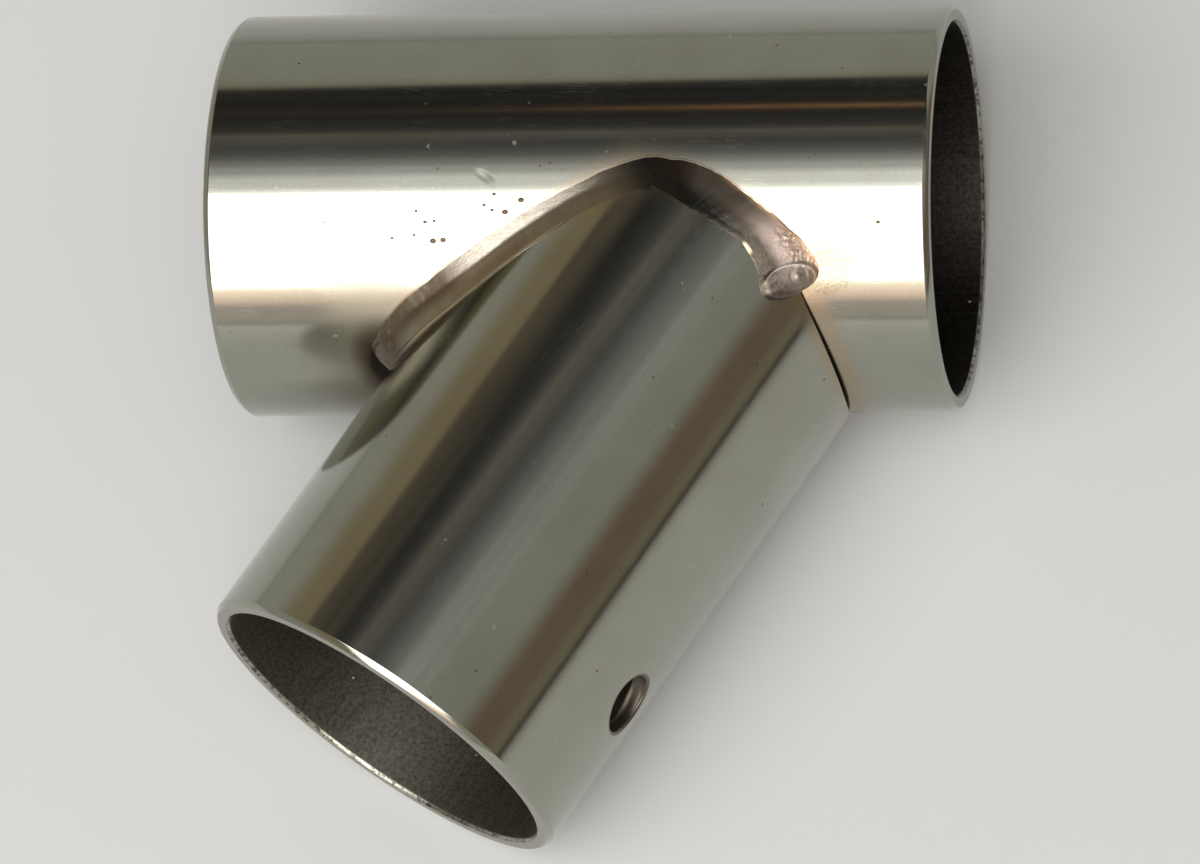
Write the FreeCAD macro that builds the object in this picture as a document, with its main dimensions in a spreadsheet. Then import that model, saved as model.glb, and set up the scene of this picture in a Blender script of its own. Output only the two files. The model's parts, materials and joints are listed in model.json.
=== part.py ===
import FreeCAD, Part
import math
import os

import Sketcher

# A press tee for rails: a straight run tube and a branch tube that meets it at 60 degrees,
# both thin stainless tube, joined by a weld on each flat side and drilled for a grub screw.
#
# Frame: the origin is the crossing of the two tube axes. X runs along the run tube, the branch
# leaves towards -Y and -X, and +Z is square to the plane that holds both axes. The fitting
# lies on its side, as it comes to rest on a bench.

Vector = FreeCAD.Vector

# Driving sizes in millimetres and degrees: alias, value, what it is
SIZES = (
    ("rail_diameter", 25.0, "outside of the rail that both tubes take"),
    ("run_play", 0.6, "run bore over the rail: the rail slides through"),
    ("run_wall", 1.2, "wall of the run tube"),
    ("run_left", 35.5, "axes' crossing to the mouth on the branch's side"),
    ("run_right", 14.5, "axes' crossing to the other mouth"),
    ("branch_play", 0.1, "branch bore over the rail: the rail's end is pushed in"),
    ("branch_wall", 1.2, "wall of the branch tube"),
    ("branch_reach", 45.0, "axes' crossing to the branch's mouth, along its axis"),
    ("branch_angle", 60.0, "angle between the branch and the run's longer half"),
    ("cope_gap", 0.15, "clearance between the coped end and the run tube"),
    ("rim_bevel", 0.3, "chamfer on the outer edge of each mouth"),
    ("rim_break", 0.15, "chamfer on the inner edge of each mouth"),
    ("screw_hole", 4.2, "tapping drill of the grub screw's hole"),
    ("screw_hole_inset", 10.0, "hole centre to the branch's mouth"),
    ("screw_hole_break", 0.12, "chamfer on the hole's outer edge"),
    ("weld_start_angle", -78.0, "where the bead starts, about the branch axis from the top"),
    ("weld_stop_angle", 49.0, "where the bead stops, about the branch axis from the top"),
    ("weld_run_leg_start", 2.3, "bead's width on the run tube at its start"),
    ("weld_run_leg_crown", 0.2, "bead's width on the run tube at the crown, where it is ground off"),
    ("weld_run_leg_stop", 1.6, "bead's width on the run tube at its stop"),
    ("weld_branch_leg_start", 1.1, "bead's width on the branch tube at its start"),
    ("weld_branch_leg_crown", 3.7, "bead's width on the branch tube at the crown"),
    ("weld_branch_leg_stop", 2.5, "bead's width on the branch tube at its stop"),
    ("weld_rise", 0.16, "how far the bead's face swells beyond a straight face"),
    ("weld_root_depth", 0.5, "how far below the seam the bead reaches before the tubes are cut off it"),
    ("dab_width", 4.0, "last dab of the bead, across the seam"),
    ("dab_length", 2.5, "last dab of the bead, along the seam"),
    ("dab_rise", 0.45, "height of a dab over a straight face between the bead's edges"),
    ("dab_pitch", 2.4, "from the last dab back to the one before it"),
    ("crater_radius", 0.85, "radius of the hollow that the last dab kept as it froze"),
    ("crater_depth", 0.2, "depth of that hollow"),
)

# Sizes that follow from the driving ones: alias, formula, what it is
FOLLOWING_SIZES = (
    ("run_bore", "rail_diameter + run_play", "bore of the run tube"),
    ("run_diameter", "run_bore + 2 * run_wall", "outside of the run tube"),
    ("branch_bore", "rail_diameter + branch_play", "bore of the branch tube"),
    ("branch_diameter", "branch_bore + 2 * branch_wall", "outside of the branch tube"),
)

SEAM_SMOOTHING = 16    # degrees each way over which the seam's direction is averaged
CROWN_SPREAD = 24      # degrees each way over which the bead keeps near its widths at the crown
BEAD_SECTIONS = 19     # sections that the bead is lofted through
BEAD_END_POWER = 12    # how abruptly the bead rounds off at its two ends
BEAD_END_TRIM = 0.98   # share of the half length where the rounded end is closed by a face
BEAD_OVERRUN = 0.12    # share of the bead's arc that dips into each tube
CHAMFER_SHARE = 0.45   # largest chamfer on a rim, as a share of the wall
ON_CURVE = 1e-4        # how near an edge lies to a radius to count as lying on it


def make_sheet(doc):
    sheet = doc.addObject("Spreadsheet::Sheet", "sizes")
    rows = [(alias, str(value), meaning) for alias, value, meaning in SIZES]
    rows += [(alias, f"={formula}", meaning) for alias, formula, meaning in FOLLOWING_SIZES]
    for row, (alias, content, meaning) in enumerate(rows, start=1):
        sheet.set(f"A{row}", alias)
        sheet.set(f"B{row}", content)
        sheet.set(f"C{row}", meaning)
        sheet.setAlias(f"B{row}", alias)
    doc.recompute()
    return sheet


def origin_plane(body, role):
    return next(item for item in body.Origin.OriginFeatures if item.Role == role)


def new_sketch(body, name, role):
    sketch = body.newObject("Sketcher::SketchObject", name)
    sketch.AttachmentSupport = [(origin_plane(body, role), "")]
    sketch.MapMode = "FlatFace"
    return sketch


def turned(degrees):
    return FreeCAD.Placement(Vector(), FreeCAD.Rotation(Vector(0, 0, 1), degrees))


def bind(sketch, index, name, expression):
    """Name a constraint and let the sheet drive it."""
    sketch.renameConstraint(index, name)
    sketch.setExpression(f"Constraints.{name}", expression)


def add_ring(sketch, sheet, tube):
    """Two circles on the sketch's origin: a tube's section."""
    for name in ("diameter", "bore"):
        size = sheet.get(f"{tube}_{name}")
        circle = sketch.addGeometry(Part.Circle(Vector(), Vector(0, 0, 1), size / 2))
        sketch.addConstraint(Sketcher.Constraint("Coincident", circle, 3, -1, 1))
        driven = sketch.addConstraint(Sketcher.Constraint("Diameter", circle, size))
        bind(sketch, driven, name, f"sizes.{tube}_{name}")


def rim_edges(shape, radius, places):
    """Names of the circles of that radius, square to X, at the given places along X."""
    names = []
    for number, edge in enumerate(shape.Edges, start=1):
        circle = edge.Curve
        if not isinstance(circle, Part.Circle) or abs(abs(circle.Axis.x) - 1) > ON_CURVE:
            continue
        at_place = any(abs(circle.Center.x - place) < ON_CURVE for place in places)
        if at_place and abs(circle.Radius - radius) < ON_CURVE:
            names.append(f"Edge{number}")
    return names


def bevel_mouths(body, tube_feature, sheet, tube, places):
    """Bevel the outer edge of each mouth and break its inner edge."""
    doc = body.Document
    base = tube_feature
    for name, diameter in (("bevel", "diameter"), ("break", "bore")):
        doc.recompute()
        chamfer = body.newObject("PartDesign::Chamfer", f"{tube}_rim_{name}")
        radius = sheet.get(f"{tube}_{diameter}") / 2
        chamfer.Base = (base, rim_edges(base.Shape, radius, places))
        largest = f"{CHAMFER_SHARE} * sizes.{tube}_wall"
        chamfer.setExpression("Size", f"min(sizes.rim_{name}; {largest})")
        base = chamfer
    doc.recompute()


def make_run_tube(doc, sheet):
    """The straight tube, cut square at both mouths."""
    body = doc.addObject("PartDesign::Body", "run_tube")
    section = new_sketch(body, "run_section", "YZ_Plane")
    section.setExpression("AttachmentOffset.Base.z", "-sizes.run_left")
    add_ring(section, sheet, "run")
    tube = body.newObject("PartDesign::Pad", "run_length")
    tube.Profile = section
    tube.setExpression("Length", "sizes.run_left + sizes.run_right")
    bevel_mouths(body, tube, sheet, "run", (-sheet.get("run_left"), sheet.get("run_right")))
    return body


def add_cope(body, sheet):
    """Cut the branch's end to a saddle that fits round the run tube.

    The sketch lies in the plane of both axes, turned back by the branch's angle, so its own
    horizontal axis is the run's axis, and a half profile of the run is turned about it.
    """
    profile = new_sketch(body, "cope_profile", "XY_Plane")
    profile.AttachmentOffset = turned(180 - sheet.get("branch_angle"))
    profile.setExpression("AttachmentOffset.Rotation.Angle", "180 - sizes.branch_angle")
    reach = sheet.get("branch_reach") + sheet.get("branch_diameter")
    radius = sheet.get("run_diameter") / 2 + sheet.get("cope_gap")
    corners = (
        Vector(-reach, 0, 0),
        Vector(reach, 0, 0),
        Vector(reach, radius, 0),
        Vector(-reach, radius, 0),
    )
    axis_side, right_side, far_side, left_side = (
        profile.addGeometry(Part.LineSegment(start, end))
        for start, end in zip(corners, corners[1:] + corners[:1])
    )
    sides = (axis_side, right_side, far_side, left_side)
    for side, following in zip(sides, sides[1:] + sides[:1]):
        profile.addConstraint(Sketcher.Constraint("Coincident", side, 2, following, 1))
    profile.addConstraint(Sketcher.Constraint("PointOnObject", axis_side, 1, -1))
    profile.addConstraint(
        Sketcher.Constraint("Symmetric", axis_side, 1, axis_side, 2, -1, 1))
    profile.addConstraint(Sketcher.Constraint("Vertical", right_side))
    profile.addConstraint(Sketcher.Constraint("Horizontal", far_side))
    profile.addConstraint(Sketcher.Constraint("Vertical", left_side))
    length = profile.addConstraint(
        Sketcher.Constraint("DistanceX", axis_side, 1, axis_side, 2, 2 * reach))
    bind(profile, length, "length", "2 * (sizes.branch_reach + sizes.branch_diameter)")
    height = profile.addConstraint(
        Sketcher.Constraint("DistanceY", right_side, 1, right_side, 2, radius))
    bind(profile, height, "height", "sizes.run_diameter / 2 + sizes.cope_gap")
    cope = body.newObject("PartDesign::Groove", "cope")
    cope.Profile = profile
    cope.ReferenceAxis = (profile, ["H_Axis"])
    cope.Angle = 360


def hole_brim(shape, sheet):
    """Names of the edges where the grub screw's hole meets the branch's outside."""
    outer_radius = sheet.get("branch_diameter") / 2
    along = sheet.get("branch_reach") - sheet.get("screw_hole_inset")
    names = []
    for number, edge in enumerate(shape.Edges, start=1):
        ends = [edge.valueAt(edge.FirstParameter), edge.valueAt(edge.LastParameter)]
        on_outside = all(abs(math.hypot(spot.y, spot.z) - outer_radius) < ON_CURVE for spot in ends)
        at_hole = all(abs(spot.x - along) < sheet.get("screw_hole") for spot in ends)
        if on_outside and at_hole:
            names.append(f"Edge{number}")
    return names


def add_screw_hole(body, sheet):
    """Drill the wall that faces the obtuse side, square to the branch's axis."""
    doc = body.Document
    place = new_sketch(body, "screw_hole_place", "XZ_Plane")
    inset = sheet.get("branch_reach") - sheet.get("screw_hole_inset")
    diameter = sheet.get("screw_hole")
    circle = place.addGeometry(Part.Circle(Vector(inset, 0, 0), Vector(0, 0, 1), diameter / 2))
    place.addConstraint(Sketcher.Constraint("PointOnObject", circle, 3, -1))
    along = place.addConstraint(Sketcher.Constraint("DistanceX", -1, 1, circle, 3, inset))
    bind(place, along, "along", "sizes.branch_reach - sizes.screw_hole_inset")
    size = place.addConstraint(Sketcher.Constraint("Diameter", circle, diameter))
    bind(place, size, "size", "sizes.screw_hole")
    doc.recompute()
    hole = body.newObject("PartDesign::Hole", "screw_hole")
    hole.Profile = place
    hole.DepthType = "ThroughAll"
    hole.setExpression("Diameter", "sizes.screw_hole")
    doc.recompute()
    edge_break = body.newObject("PartDesign::Chamfer", "screw_hole_break")
    edge_break.Base = (hole, hole_brim(hole.Shape, sheet))
    edge_break.setExpression("Size", "sizes.screw_hole_break")


def make_branch_tube(doc, sheet):
    """The branch, modelled along its own X axis and turned into place."""
    body = doc.addObject("PartDesign::Body", "branch_tube")
    body.Placement = turned(180 + sheet.get("branch_angle"))
    body.setExpression("Placement.Rotation.Angle", "180 + sizes.branch_angle")
    section = new_sketch(body, "branch_section", "YZ_Plane")
    add_ring(section, sheet, "branch")
    tube = body.newObject("PartDesign::Pad", "branch_length")
    tube.Profile = section
    tube.setExpression("Length", "sizes.branch_reach")
    bevel_mouths(body, tube, sheet, "branch", (sheet.get("branch_reach"),))
    add_cope(body, sheet)
    doc.recompute()
    add_screw_hole(body, sheet)
    return body


class Saddle:
    """The seam where the branch's outside meets the run's outside.

    A place on the seam is given by its angle about the branch's axis: 0 is the crown on the
    +Z side, negative angles lead into the acute corner and positive ones into the obtuse one.
    """

    def __init__(self, sheet):
        self.run_radius = sheet.get("run_diameter") / 2
        self.branch_radius = sheet.get("branch_diameter") / 2
        angle = math.radians(sheet.get("branch_angle"))
        self.along = Vector(-math.cos(angle), -math.sin(angle), 0)
        self.obtuse = Vector(math.sin(angle), -math.cos(angle), 0)

    def branch_normal(self, degrees):
        turn = math.radians(degrees)
        return Vector(0, 0, math.cos(turn)) + self.obtuse * math.sin(turn)

    def point(self, degrees):
        start = self.branch_normal(degrees) * self.branch_radius
        run_y = -math.sqrt(self.run_radius ** 2 - start.z ** 2)
        return start + self.along * ((run_y - start.y) / self.along.y)

    def frame(self, degrees):
        """Seam point, smoothed seam direction, and the run's and branch's normals square to it."""
        point = self.point(degrees)
        behind, ahead = self.point(degrees - SEAM_SMOOTHING), self.point(degrees + SEAM_SMOOTHING)
        seam = (ahead - behind).normalize()
        run_normal = square_to(seam, Vector(0, point.y, point.z))
        branch_normal = square_to(seam, self.branch_normal(degrees))
        return point, seam, run_normal, branch_normal

    def angle_before(self, degrees, distance):
        """The angle of the place that lies a distance back along the seam."""
        length_of_degree = (self.point(degrees) - self.point(degrees - 1)).Length
        return degrees - distance / length_of_degree


def square_to(axis, direction):
    return (direction - axis * direction.dot(axis)).normalize()


def bead_toes(saddle, sheet, degrees, size=1.0):
    """The two edges of the bead at one place: on the run tube and on the branch tube."""
    point, seam, run_normal, branch_normal = saddle.frame(degrees)
    end = "start" if degrees < 0 else "stop"
    crown_share = math.exp(-(degrees / CROWN_SPREAD) ** 2)
    toes = []
    for tube, normal, way, axis, radius in (
        ("run", run_normal, run_normal.cross(seam), Vector(1, 0, 0), saddle.run_radius),
        ("branch", branch_normal, seam.cross(branch_normal), saddle.along, saddle.branch_radius),
    ):
        end_leg = sheet.get(f"weld_{tube}_leg_{end}")
        leg = size * (end_leg + crown_share * (sheet.get(f"weld_{tube}_leg_crown") - end_leg))
        sagitta = leg ** 2 * (1 - way.dot(axis) ** 2) / (2 * radius)
        toes.append(point + way * leg - normal * sagitta)
    return toes


def bead_section(saddle, sheet, degrees, size):
    """One closed section of the bead: its swelling face, and two sides that sink into the tubes."""
    point, seam, run_normal, branch_normal = saddle.frame(degrees)
    outward = (run_normal + branch_normal).normalize()
    on_run, on_branch = bead_toes(saddle, sheet, degrees, size)
    middle = (on_run + on_branch) * 0.5 + outward * sheet.get("weld_rise") * size
    arc = Part.Arc(on_run, middle, on_branch).toShape()
    past_toe = (arc.LastParameter - arc.FirstParameter) * BEAD_OVERRUN
    face = arc.Curve.toShape(arc.FirstParameter - past_toe, arc.LastParameter + past_toe)
    first, last = face.valueAt(face.FirstParameter), face.valueAt(face.LastParameter)
    root = point - outward * sheet.get("weld_root_depth")
    sides = [Part.LineSegment(last, root).toShape(), Part.LineSegment(root, first).toShape()]
    return Part.Wire([face] + sides)


def make_bead(saddle, sheet):
    """Loft the bead along the seam, rounded off towards both ends."""
    start, stop = sheet.get("weld_start_angle"), sheet.get("weld_stop_angle")
    sections = []
    for number in range(BEAD_SECTIONS):
        share = -BEAD_END_TRIM * math.cos(math.pi * number / (BEAD_SECTIONS - 1))
        size = math.sqrt(1 - abs(share) ** BEAD_END_POWER)
        degrees = (start + stop) / 2 + (stop - start) / 2 * share
        sections.append(bead_section(saddle, sheet, degrees, size))
    return Part.makeLoft(sections, True, False)


def make_dab(saddle, sheet, degrees, size, cratered):
    """A frozen pool of weld metal: a low oval dome across the bead, with or without a crater."""
    seam, run_normal = saddle.frame(degrees)[1:3]
    on_run, on_branch = bead_toes(saddle, sheet, degrees)
    across = (on_branch - on_run).normalize()
    upward = seam.cross(across).normalize()
    if upward.dot(run_normal) < 0:
        upward = upward * -1
    half_length = sheet.get("dab_length") / 2 * size
    half_width = sheet.get("dab_width") / 2 * size
    rise = sheet.get("dab_rise")
    radius = (half_length ** 2 + rise ** 2) / (2 * rise)
    centre = (on_run + on_branch) * 0.5 + upward * (rise - radius)
    reach = across * (half_width - half_length)
    dab = Part.makeCylinder(radius, 2 * reach.Length, centre - reach, across)
    dab = dab.fuse([Part.makeSphere(radius, centre - reach), Part.makeSphere(radius, centre + reach)])
    if cratered:
        hollow, depth = sheet.get("crater_radius"), sheet.get("crater_depth")
        ball = (hollow ** 2 + depth ** 2) / (2 * depth)
        dab = dab.cut(Part.makeSphere(ball, centre + upward * (radius + ball - depth)))
    return dab


def make_weld_upper(doc, sheet):
    """The weld on the +Z side: the bead, its last two dabs and the one that it began with."""
    saddle = Saddle(sheet)
    metal = make_bead(saddle, sheet)
    last = saddle.angle_before(sheet.get("weld_stop_angle"), sheet.get("dab_length") / 2)
    before_last = saddle.angle_before(last, sheet.get("dab_pitch"))
    first = saddle.angle_before(sheet.get("weld_start_angle"), -sheet.get("dab_length") / 2)
    for degrees, size, cratered in ((last, 1.0, True), (before_last, 0.9, False), (first, 0.6, False)):
        metal = metal.fuse(make_dab(saddle, sheet, degrees, size, cratered))
    left = sheet.get("run_left")
    length = left + sheet.get("run_right")
    run = Part.makeCylinder(saddle.run_radius, length, Vector(-left, 0, 0), Vector(1, 0, 0))
    branch = Part.makeCylinder(saddle.branch_radius, sheet.get("branch_reach"), Vector(), saddle.along)
    weld = doc.addObject("Part::Feature", "weld_upper")
    weld.Shape = metal.cut(run).cut(branch).removeSplitter()
    weld.Placement = FreeCAD.Placement()
    return weld


def make_weld_lower(doc, weld_upper):
    """The other side's weld, mirrored in the plane of both axes."""
    weld = doc.addObject("Part::Mirroring", "weld_lower")
    weld.Source = weld_upper
    weld.Normal = Vector(0, 0, 1)
    return weld


def check(doc, pieces):
    for item in doc.Objects:
        if "Invalid" in item.State or "Error" in item.State:
            raise RuntimeError(f"{item.Name} failed: {item.State}")
        base = getattr(item, "BaseFeature", None)
        if base and item.Shape.Volume >= base.Shape.Volume:
            raise RuntimeError(f"{item.Name} cuts nothing")
    for piece in pieces:
        shape = piece.Shape
        if shape.isNull() or not shape.isValid() or len(shape.Solids) != 1:
            raise RuntimeError(f"{piece.Label} is not one valid solid")


def main():
    doc = FreeCAD.newDocument("press_tee")
    sheet = make_sheet(doc)
    weld_upper = make_weld_upper(doc, sheet)
    pieces = [
        make_run_tube(doc, sheet),
        make_branch_tube(doc, sheet),
        weld_upper,
        make_weld_lower(doc, weld_upper),
    ]
    doc.recompute()
    check(doc, pieces)
    os.makedirs("parts", exist_ok=True)
    for piece in pieces:
        piece.Shape.exportStep(f"parts/{piece.Label}.step")
        box = piece.Shape.optimalBoundingBox(False)
        print(piece.Label, round(piece.Shape.Volume, 2), "mm3,", len(piece.Shape.Faces), "faces,", box)


main()
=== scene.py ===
# %% [markdown]
# A rail tee of polished stainless tube: a straight run tube, a branch tube that meets it at
# 60 degrees, and a weld on each flat side. The packed model is loaded first and never moved,
# because every piece made below takes its size and place from it.

# %% Load the model
import json
import math

import bmesh
import bpy
import numpy as np
from mathutils import Matrix, Vector


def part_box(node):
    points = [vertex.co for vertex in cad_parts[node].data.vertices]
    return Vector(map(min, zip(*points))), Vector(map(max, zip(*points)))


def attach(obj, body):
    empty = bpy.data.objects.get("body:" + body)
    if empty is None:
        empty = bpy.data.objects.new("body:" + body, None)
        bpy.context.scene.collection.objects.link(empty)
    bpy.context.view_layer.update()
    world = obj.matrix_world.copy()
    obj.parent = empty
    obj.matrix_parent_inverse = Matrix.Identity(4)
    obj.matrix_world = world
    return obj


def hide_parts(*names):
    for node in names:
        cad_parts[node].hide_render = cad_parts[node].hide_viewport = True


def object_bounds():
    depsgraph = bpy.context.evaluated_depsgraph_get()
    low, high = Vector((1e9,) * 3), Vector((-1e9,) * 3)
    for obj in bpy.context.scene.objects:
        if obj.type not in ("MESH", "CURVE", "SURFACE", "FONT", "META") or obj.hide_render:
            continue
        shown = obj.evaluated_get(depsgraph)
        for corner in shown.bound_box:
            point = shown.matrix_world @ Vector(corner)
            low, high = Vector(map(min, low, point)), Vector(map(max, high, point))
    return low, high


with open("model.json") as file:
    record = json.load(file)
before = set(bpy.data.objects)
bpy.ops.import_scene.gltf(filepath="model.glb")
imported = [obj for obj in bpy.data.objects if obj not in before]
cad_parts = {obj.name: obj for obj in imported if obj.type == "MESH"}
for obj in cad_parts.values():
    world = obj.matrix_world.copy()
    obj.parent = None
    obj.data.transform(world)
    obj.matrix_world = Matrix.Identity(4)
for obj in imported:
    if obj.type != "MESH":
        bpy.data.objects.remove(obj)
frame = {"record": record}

model_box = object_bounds()
MM = 0.001
mounts = {mount["name"]: mount for mount in frame["record"]["mounts"]}
print("model box in mm:", [[round(value / MM, 2) for value in corner] for corner in model_box])

# %% [markdown]
# The driving sizes are read off the model. They could be typed in again, but then a changed
# model would no longer match its dress. The run tube lies along X, so its box gives its
# radius and its two mouths, and the bores and the branch's axis are stated as mounts. Only
# the sizes that no box shows, such as a worn rim, are written as numbers.

# %% Sizes of the two tubes
run_low, run_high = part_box("run_tube")
RUN_RADIUS = run_high.z
RUN_BORE = mounts["run_bore"]["dims"]["r_mm"] * MM
BRANCH_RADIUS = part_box("branch_tube")[1].z
BRANCH_BORE = mounts["branch_socket"]["dims"]["r_mm"] * MM
BRANCH_REACH = 45.0 * MM
ALONG = np.array(mounts["branch_socket"]["axis"])
OBTUSE = np.array(mounts["grub_screw_hole"]["axis"])
UP = np.array((0.0, 0.0, 1.0))
RIM_DEPTH, RIM_CUT = 0.45 * MM, 0.33 * MM
BREAK_DEPTH, BREAK_CUT = 0.30 * MM, 0.20 * MM
print("run radius", round(RUN_RADIUS / MM, 3), "branch radius", round(BRANCH_RADIUS / MM, 3))

# %% [markdown]
# The camera stands where the photograph was taken from. It was worked out from the tubes'
# outlines: a long lens, half a metre away, looking down at 62 degrees and rolled until the
# run tube lies level in the picture.

# %% Camera
IMAGE_WIDTH, IMAGE_HEIGHT = 1200, 864
FOCAL_PIXELS = 6947.4
CAMERA_PLACE = Vector((83.556, -218.056, 420.107)) * MM
PICTURE_RIGHT = Vector((0.980708, 0.079563, -0.178556))
PICTURE_UP = Vector((0.005257, 0.902358, 0.430956))
TO_CAMERA = PICTURE_RIGHT.cross(PICTURE_UP).normalized()

camera_data = bpy.data.cameras.new("camera")
camera_data.sensor_width = 36.0
camera_data.lens = camera_data.sensor_width * FOCAL_PIXELS / IMAGE_WIDTH
camera_data.clip_start = 0.01
camera = bpy.data.objects.new("camera", camera_data)
bpy.context.scene.collection.objects.link(camera)
turn = Matrix((PICTURE_RIGHT, TO_CAMERA.cross(PICTURE_RIGHT), TO_CAMERA)).transposed()
camera.matrix_world = Matrix.Translation(CAMERA_PLACE) @ turn.to_4x4()
bpy.context.scene.camera = camera
bpy.context.scene.view_settings.view_transform = "Standard"
print("lens", round(camera_data.lens, 1), "mm")

# %% [markdown]
# A shader or a geometry tree could be wired by hand in the node editor, but a long sum becomes
# dozens of nodes that are hard to read. Here a Wire holds a socket, and each operator on it
# adds the node that does that sum, so a mask can be written as 1 - edge * 0.5.

# %% Node maths: sums of wires
def find_socket(sockets, name):
    """Some nodes hold several sockets of one name, so the identifier is tried first."""
    for socket in sockets:
        if socket.identifier == name and socket.enabled:
            return socket
    return sockets[name]


def is_vector(value):
    return value.is_vector if isinstance(value, Wire) else isinstance(value, (tuple, Vector))


def as_vector(value):
    if is_vector(value):
        return value
    return value.spread() if isinstance(value, Wire) else (value, value, value)


class Wire:
    def __init__(self, graph, socket):
        self.graph = graph
        self.socket = socket

    @property
    def is_vector(self):
        return self.socket.type in ("VECTOR", "RGBA")

    def math(self, operation, other=None):
        sockets = {"Value": self}
        if other is not None:
            sockets["Value_001"] = other
        return self.graph.add("ShaderNodeMath", {"operation": operation}, sockets, "Value")

    def vector_math(self, operation, other=None, output="Vector"):
        sockets = {"Vector": self}
        if other is not None:
            sockets["Scale" if operation == "SCALE" else "Vector_001"] = other
        return self.graph.add("ShaderNodeVectorMath", {"operation": operation}, sockets, output)

    def sum_with(self, operation, other):
        if not self.is_vector and not is_vector(other):
            return self.math(operation, other)
        return as_vector(self).vector_math(operation, as_vector(other))

    def __add__(self, other):
        return self.sum_with("ADD", other)

    __radd__ = __add__

    def __sub__(self, other):
        return self.sum_with("SUBTRACT", other)

    def __rsub__(self, other):
        return (self * -1.0) + other

    def __mul__(self, other):
        if is_vector(self) == is_vector(other):
            return self.sum_with("MULTIPLY", other)
        if self.is_vector:
            return self.vector_math("SCALE", other)
        return other.vector_math("SCALE", self) if isinstance(other, Wire) else self.spread() * other

    __rmul__ = __mul__

    def __truediv__(self, other):
        if self.is_vector:
            return self * (1.0 / other)
        return self.math("DIVIDE", other)

    def __neg__(self):
        return self * -1.0

    def spread(self):
        """The same number in all three places of a vector."""
        return self.graph.vector(self, self, self)

    def part(self, axis):
        return self.graph.add("ShaderNodeSeparateXYZ", {}, {"Vector": self}, axis)

    def dot(self, other):
        return self.vector_math("DOT_PRODUCT", other, "Value")

    def cross(self, other):
        return self.vector_math("CROSS_PRODUCT", other)

    def length(self):
        return self.vector_math("LENGTH", None, "Value")

    def unit(self):
        return self.vector_math("NORMALIZE")

    def power(self, exponent):
        return self.math("POWER", exponent)

    def root(self):
        return self.math("SQRT")

    def size(self):
        return self.math("ABSOLUTE")

    def at_least(self, other):
        return self.math("MAXIMUM", other)

    def at_most(self, other):
        return self.math("MINIMUM", other)

    def sine(self):
        return self.math("SINE")

    def cosine(self):
        return self.math("COSINE")

    def step(self, low, high):
        """Goes smoothly from 0 to 1 while the wire goes from low to high, up or down."""
        sockets = {"Value": self, "From Min": low, "From Max": high}
        return self.graph.add(
            "ShaderNodeMapRange", {"interpolation_type": "SMOOTHSTEP"}, sockets, "Result")


print("a wire can:", [name for name in vars(Wire) if not name.startswith("_")])

# %% [markdown]
# A Graph is one node tree. Every node that isn't a sum comes from its one method, add, which
# takes the node's type, its settings and its inputs, so that each line of a tree reads the
# same way. The few nodes that are used all the time have a short name of their own.

# %% Node maths: one tree
class Graph:
    def __init__(self, tree):
        self.tree = tree

    def add(self, kind, settings, inputs, output=None):
        node = self.tree.nodes.new(kind)
        for name, value in settings.items():
            if name == "stops":
                self.set_stops(node.color_ramp, value)
            elif name == "curve":
                self.set_curve(node.mapping, value)
            else:
                setattr(node, name, value)
        for name, value in inputs.items():
            socket = find_socket(node.inputs, name)
            if isinstance(value, Wire):
                self.tree.links.new(value.socket, socket)
            else:
                socket.default_value = value
        return Wire(self, find_socket(node.outputs, output)) if output else node

    def set_stops(self, ramp, stops):
        while len(ramp.elements) < len(stops):
            ramp.elements.new(0.5)
        for element, (place, value) in zip(ramp.elements, stops):
            element.position = place
            element.color = value if isinstance(value, tuple) else (value, value, value, 1.0)

    def set_curve(self, mapping, points):
        curve = mapping.curves[0]
        while len(curve.points) < len(points):
            curve.points.new(0.5, 0.5)
        for point, place in zip(curve.points, points):
            point.location = place
        mapping.update()

    def vector(self, x, y, z):
        return self.add("ShaderNodeCombineXYZ", {}, {"X": x, "Y": y, "Z": z}, "Vector")

    def curve(self, value, points):
        """A drawn curve through points from 0 to 1."""
        return self.add("ShaderNodeFloatCurve", {"curve": points}, {"Value": value}, "Value")

    def noise(self, place, scale, detail=2.0, roughness=0.5):
        sockets = {"Vector": place, "Scale": scale, "Detail": detail, "Roughness": roughness}
        return self.add("ShaderNodeTexNoise", {"noise_dimensions": "3D"}, sockets, "Fac")

    def mix(self, factor, first, second):
        """Blends two colours."""
        sockets = {"Factor_Float": factor, "A_Color": first, "B_Color": second}
        return self.add("ShaderNodeMix", {"data_type": "RGBA"}, sockets, "Result_Color")


print("short names for nodes:", [name for name in vars(Graph) if not name.startswith("_")])

# %% [markdown]
# Polished metal is a mirror, so what it looks like is mostly what stands round it. The studio
# is drawn on the world by direction: pale grey walls, a dark ceiling behind the object that
# fades towards the front, and a few thin warm edges that leave streaks in the polish. The
# world could be a picture, but a picture would have to be loaded, and these few bands are
# enough. In the room's cells x, y and z are the parts of a direction of length 1.

# %% The room: its ceiling
DARK = (0.07, 0.058, 0.042, 1.0)
BROWN_LINE = (0.21, 0.155, 0.11, 1.0)
PALE_LINE = (0.34, 0.28, 0.21, 1.0)
ORANGE_LINE = (0.62, 0.32, 0.15, 1.0)
LEFT_CEILING = ((0.075, 0.066, 0.052, 1.0), (0.19, 0.165, 0.130, 1.0))
RIGHT_CEILING = (0.43, 0.44, 0.40, 1.0)
CEILING_STOPS = (
    (0.00, 0.018), (0.12, 0.020), (0.17, 0.024), (0.24, 0.042), (0.33, 0.088), (0.40, 0.074),
    (0.46, 0.100), (0.52, 0.155), (0.58, 0.285), (0.66, 0.56), (0.74, 0.83), (0.84, 1.0))
CEILING_EDGE = 0.6
LINE_BLUR = 0.009


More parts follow.
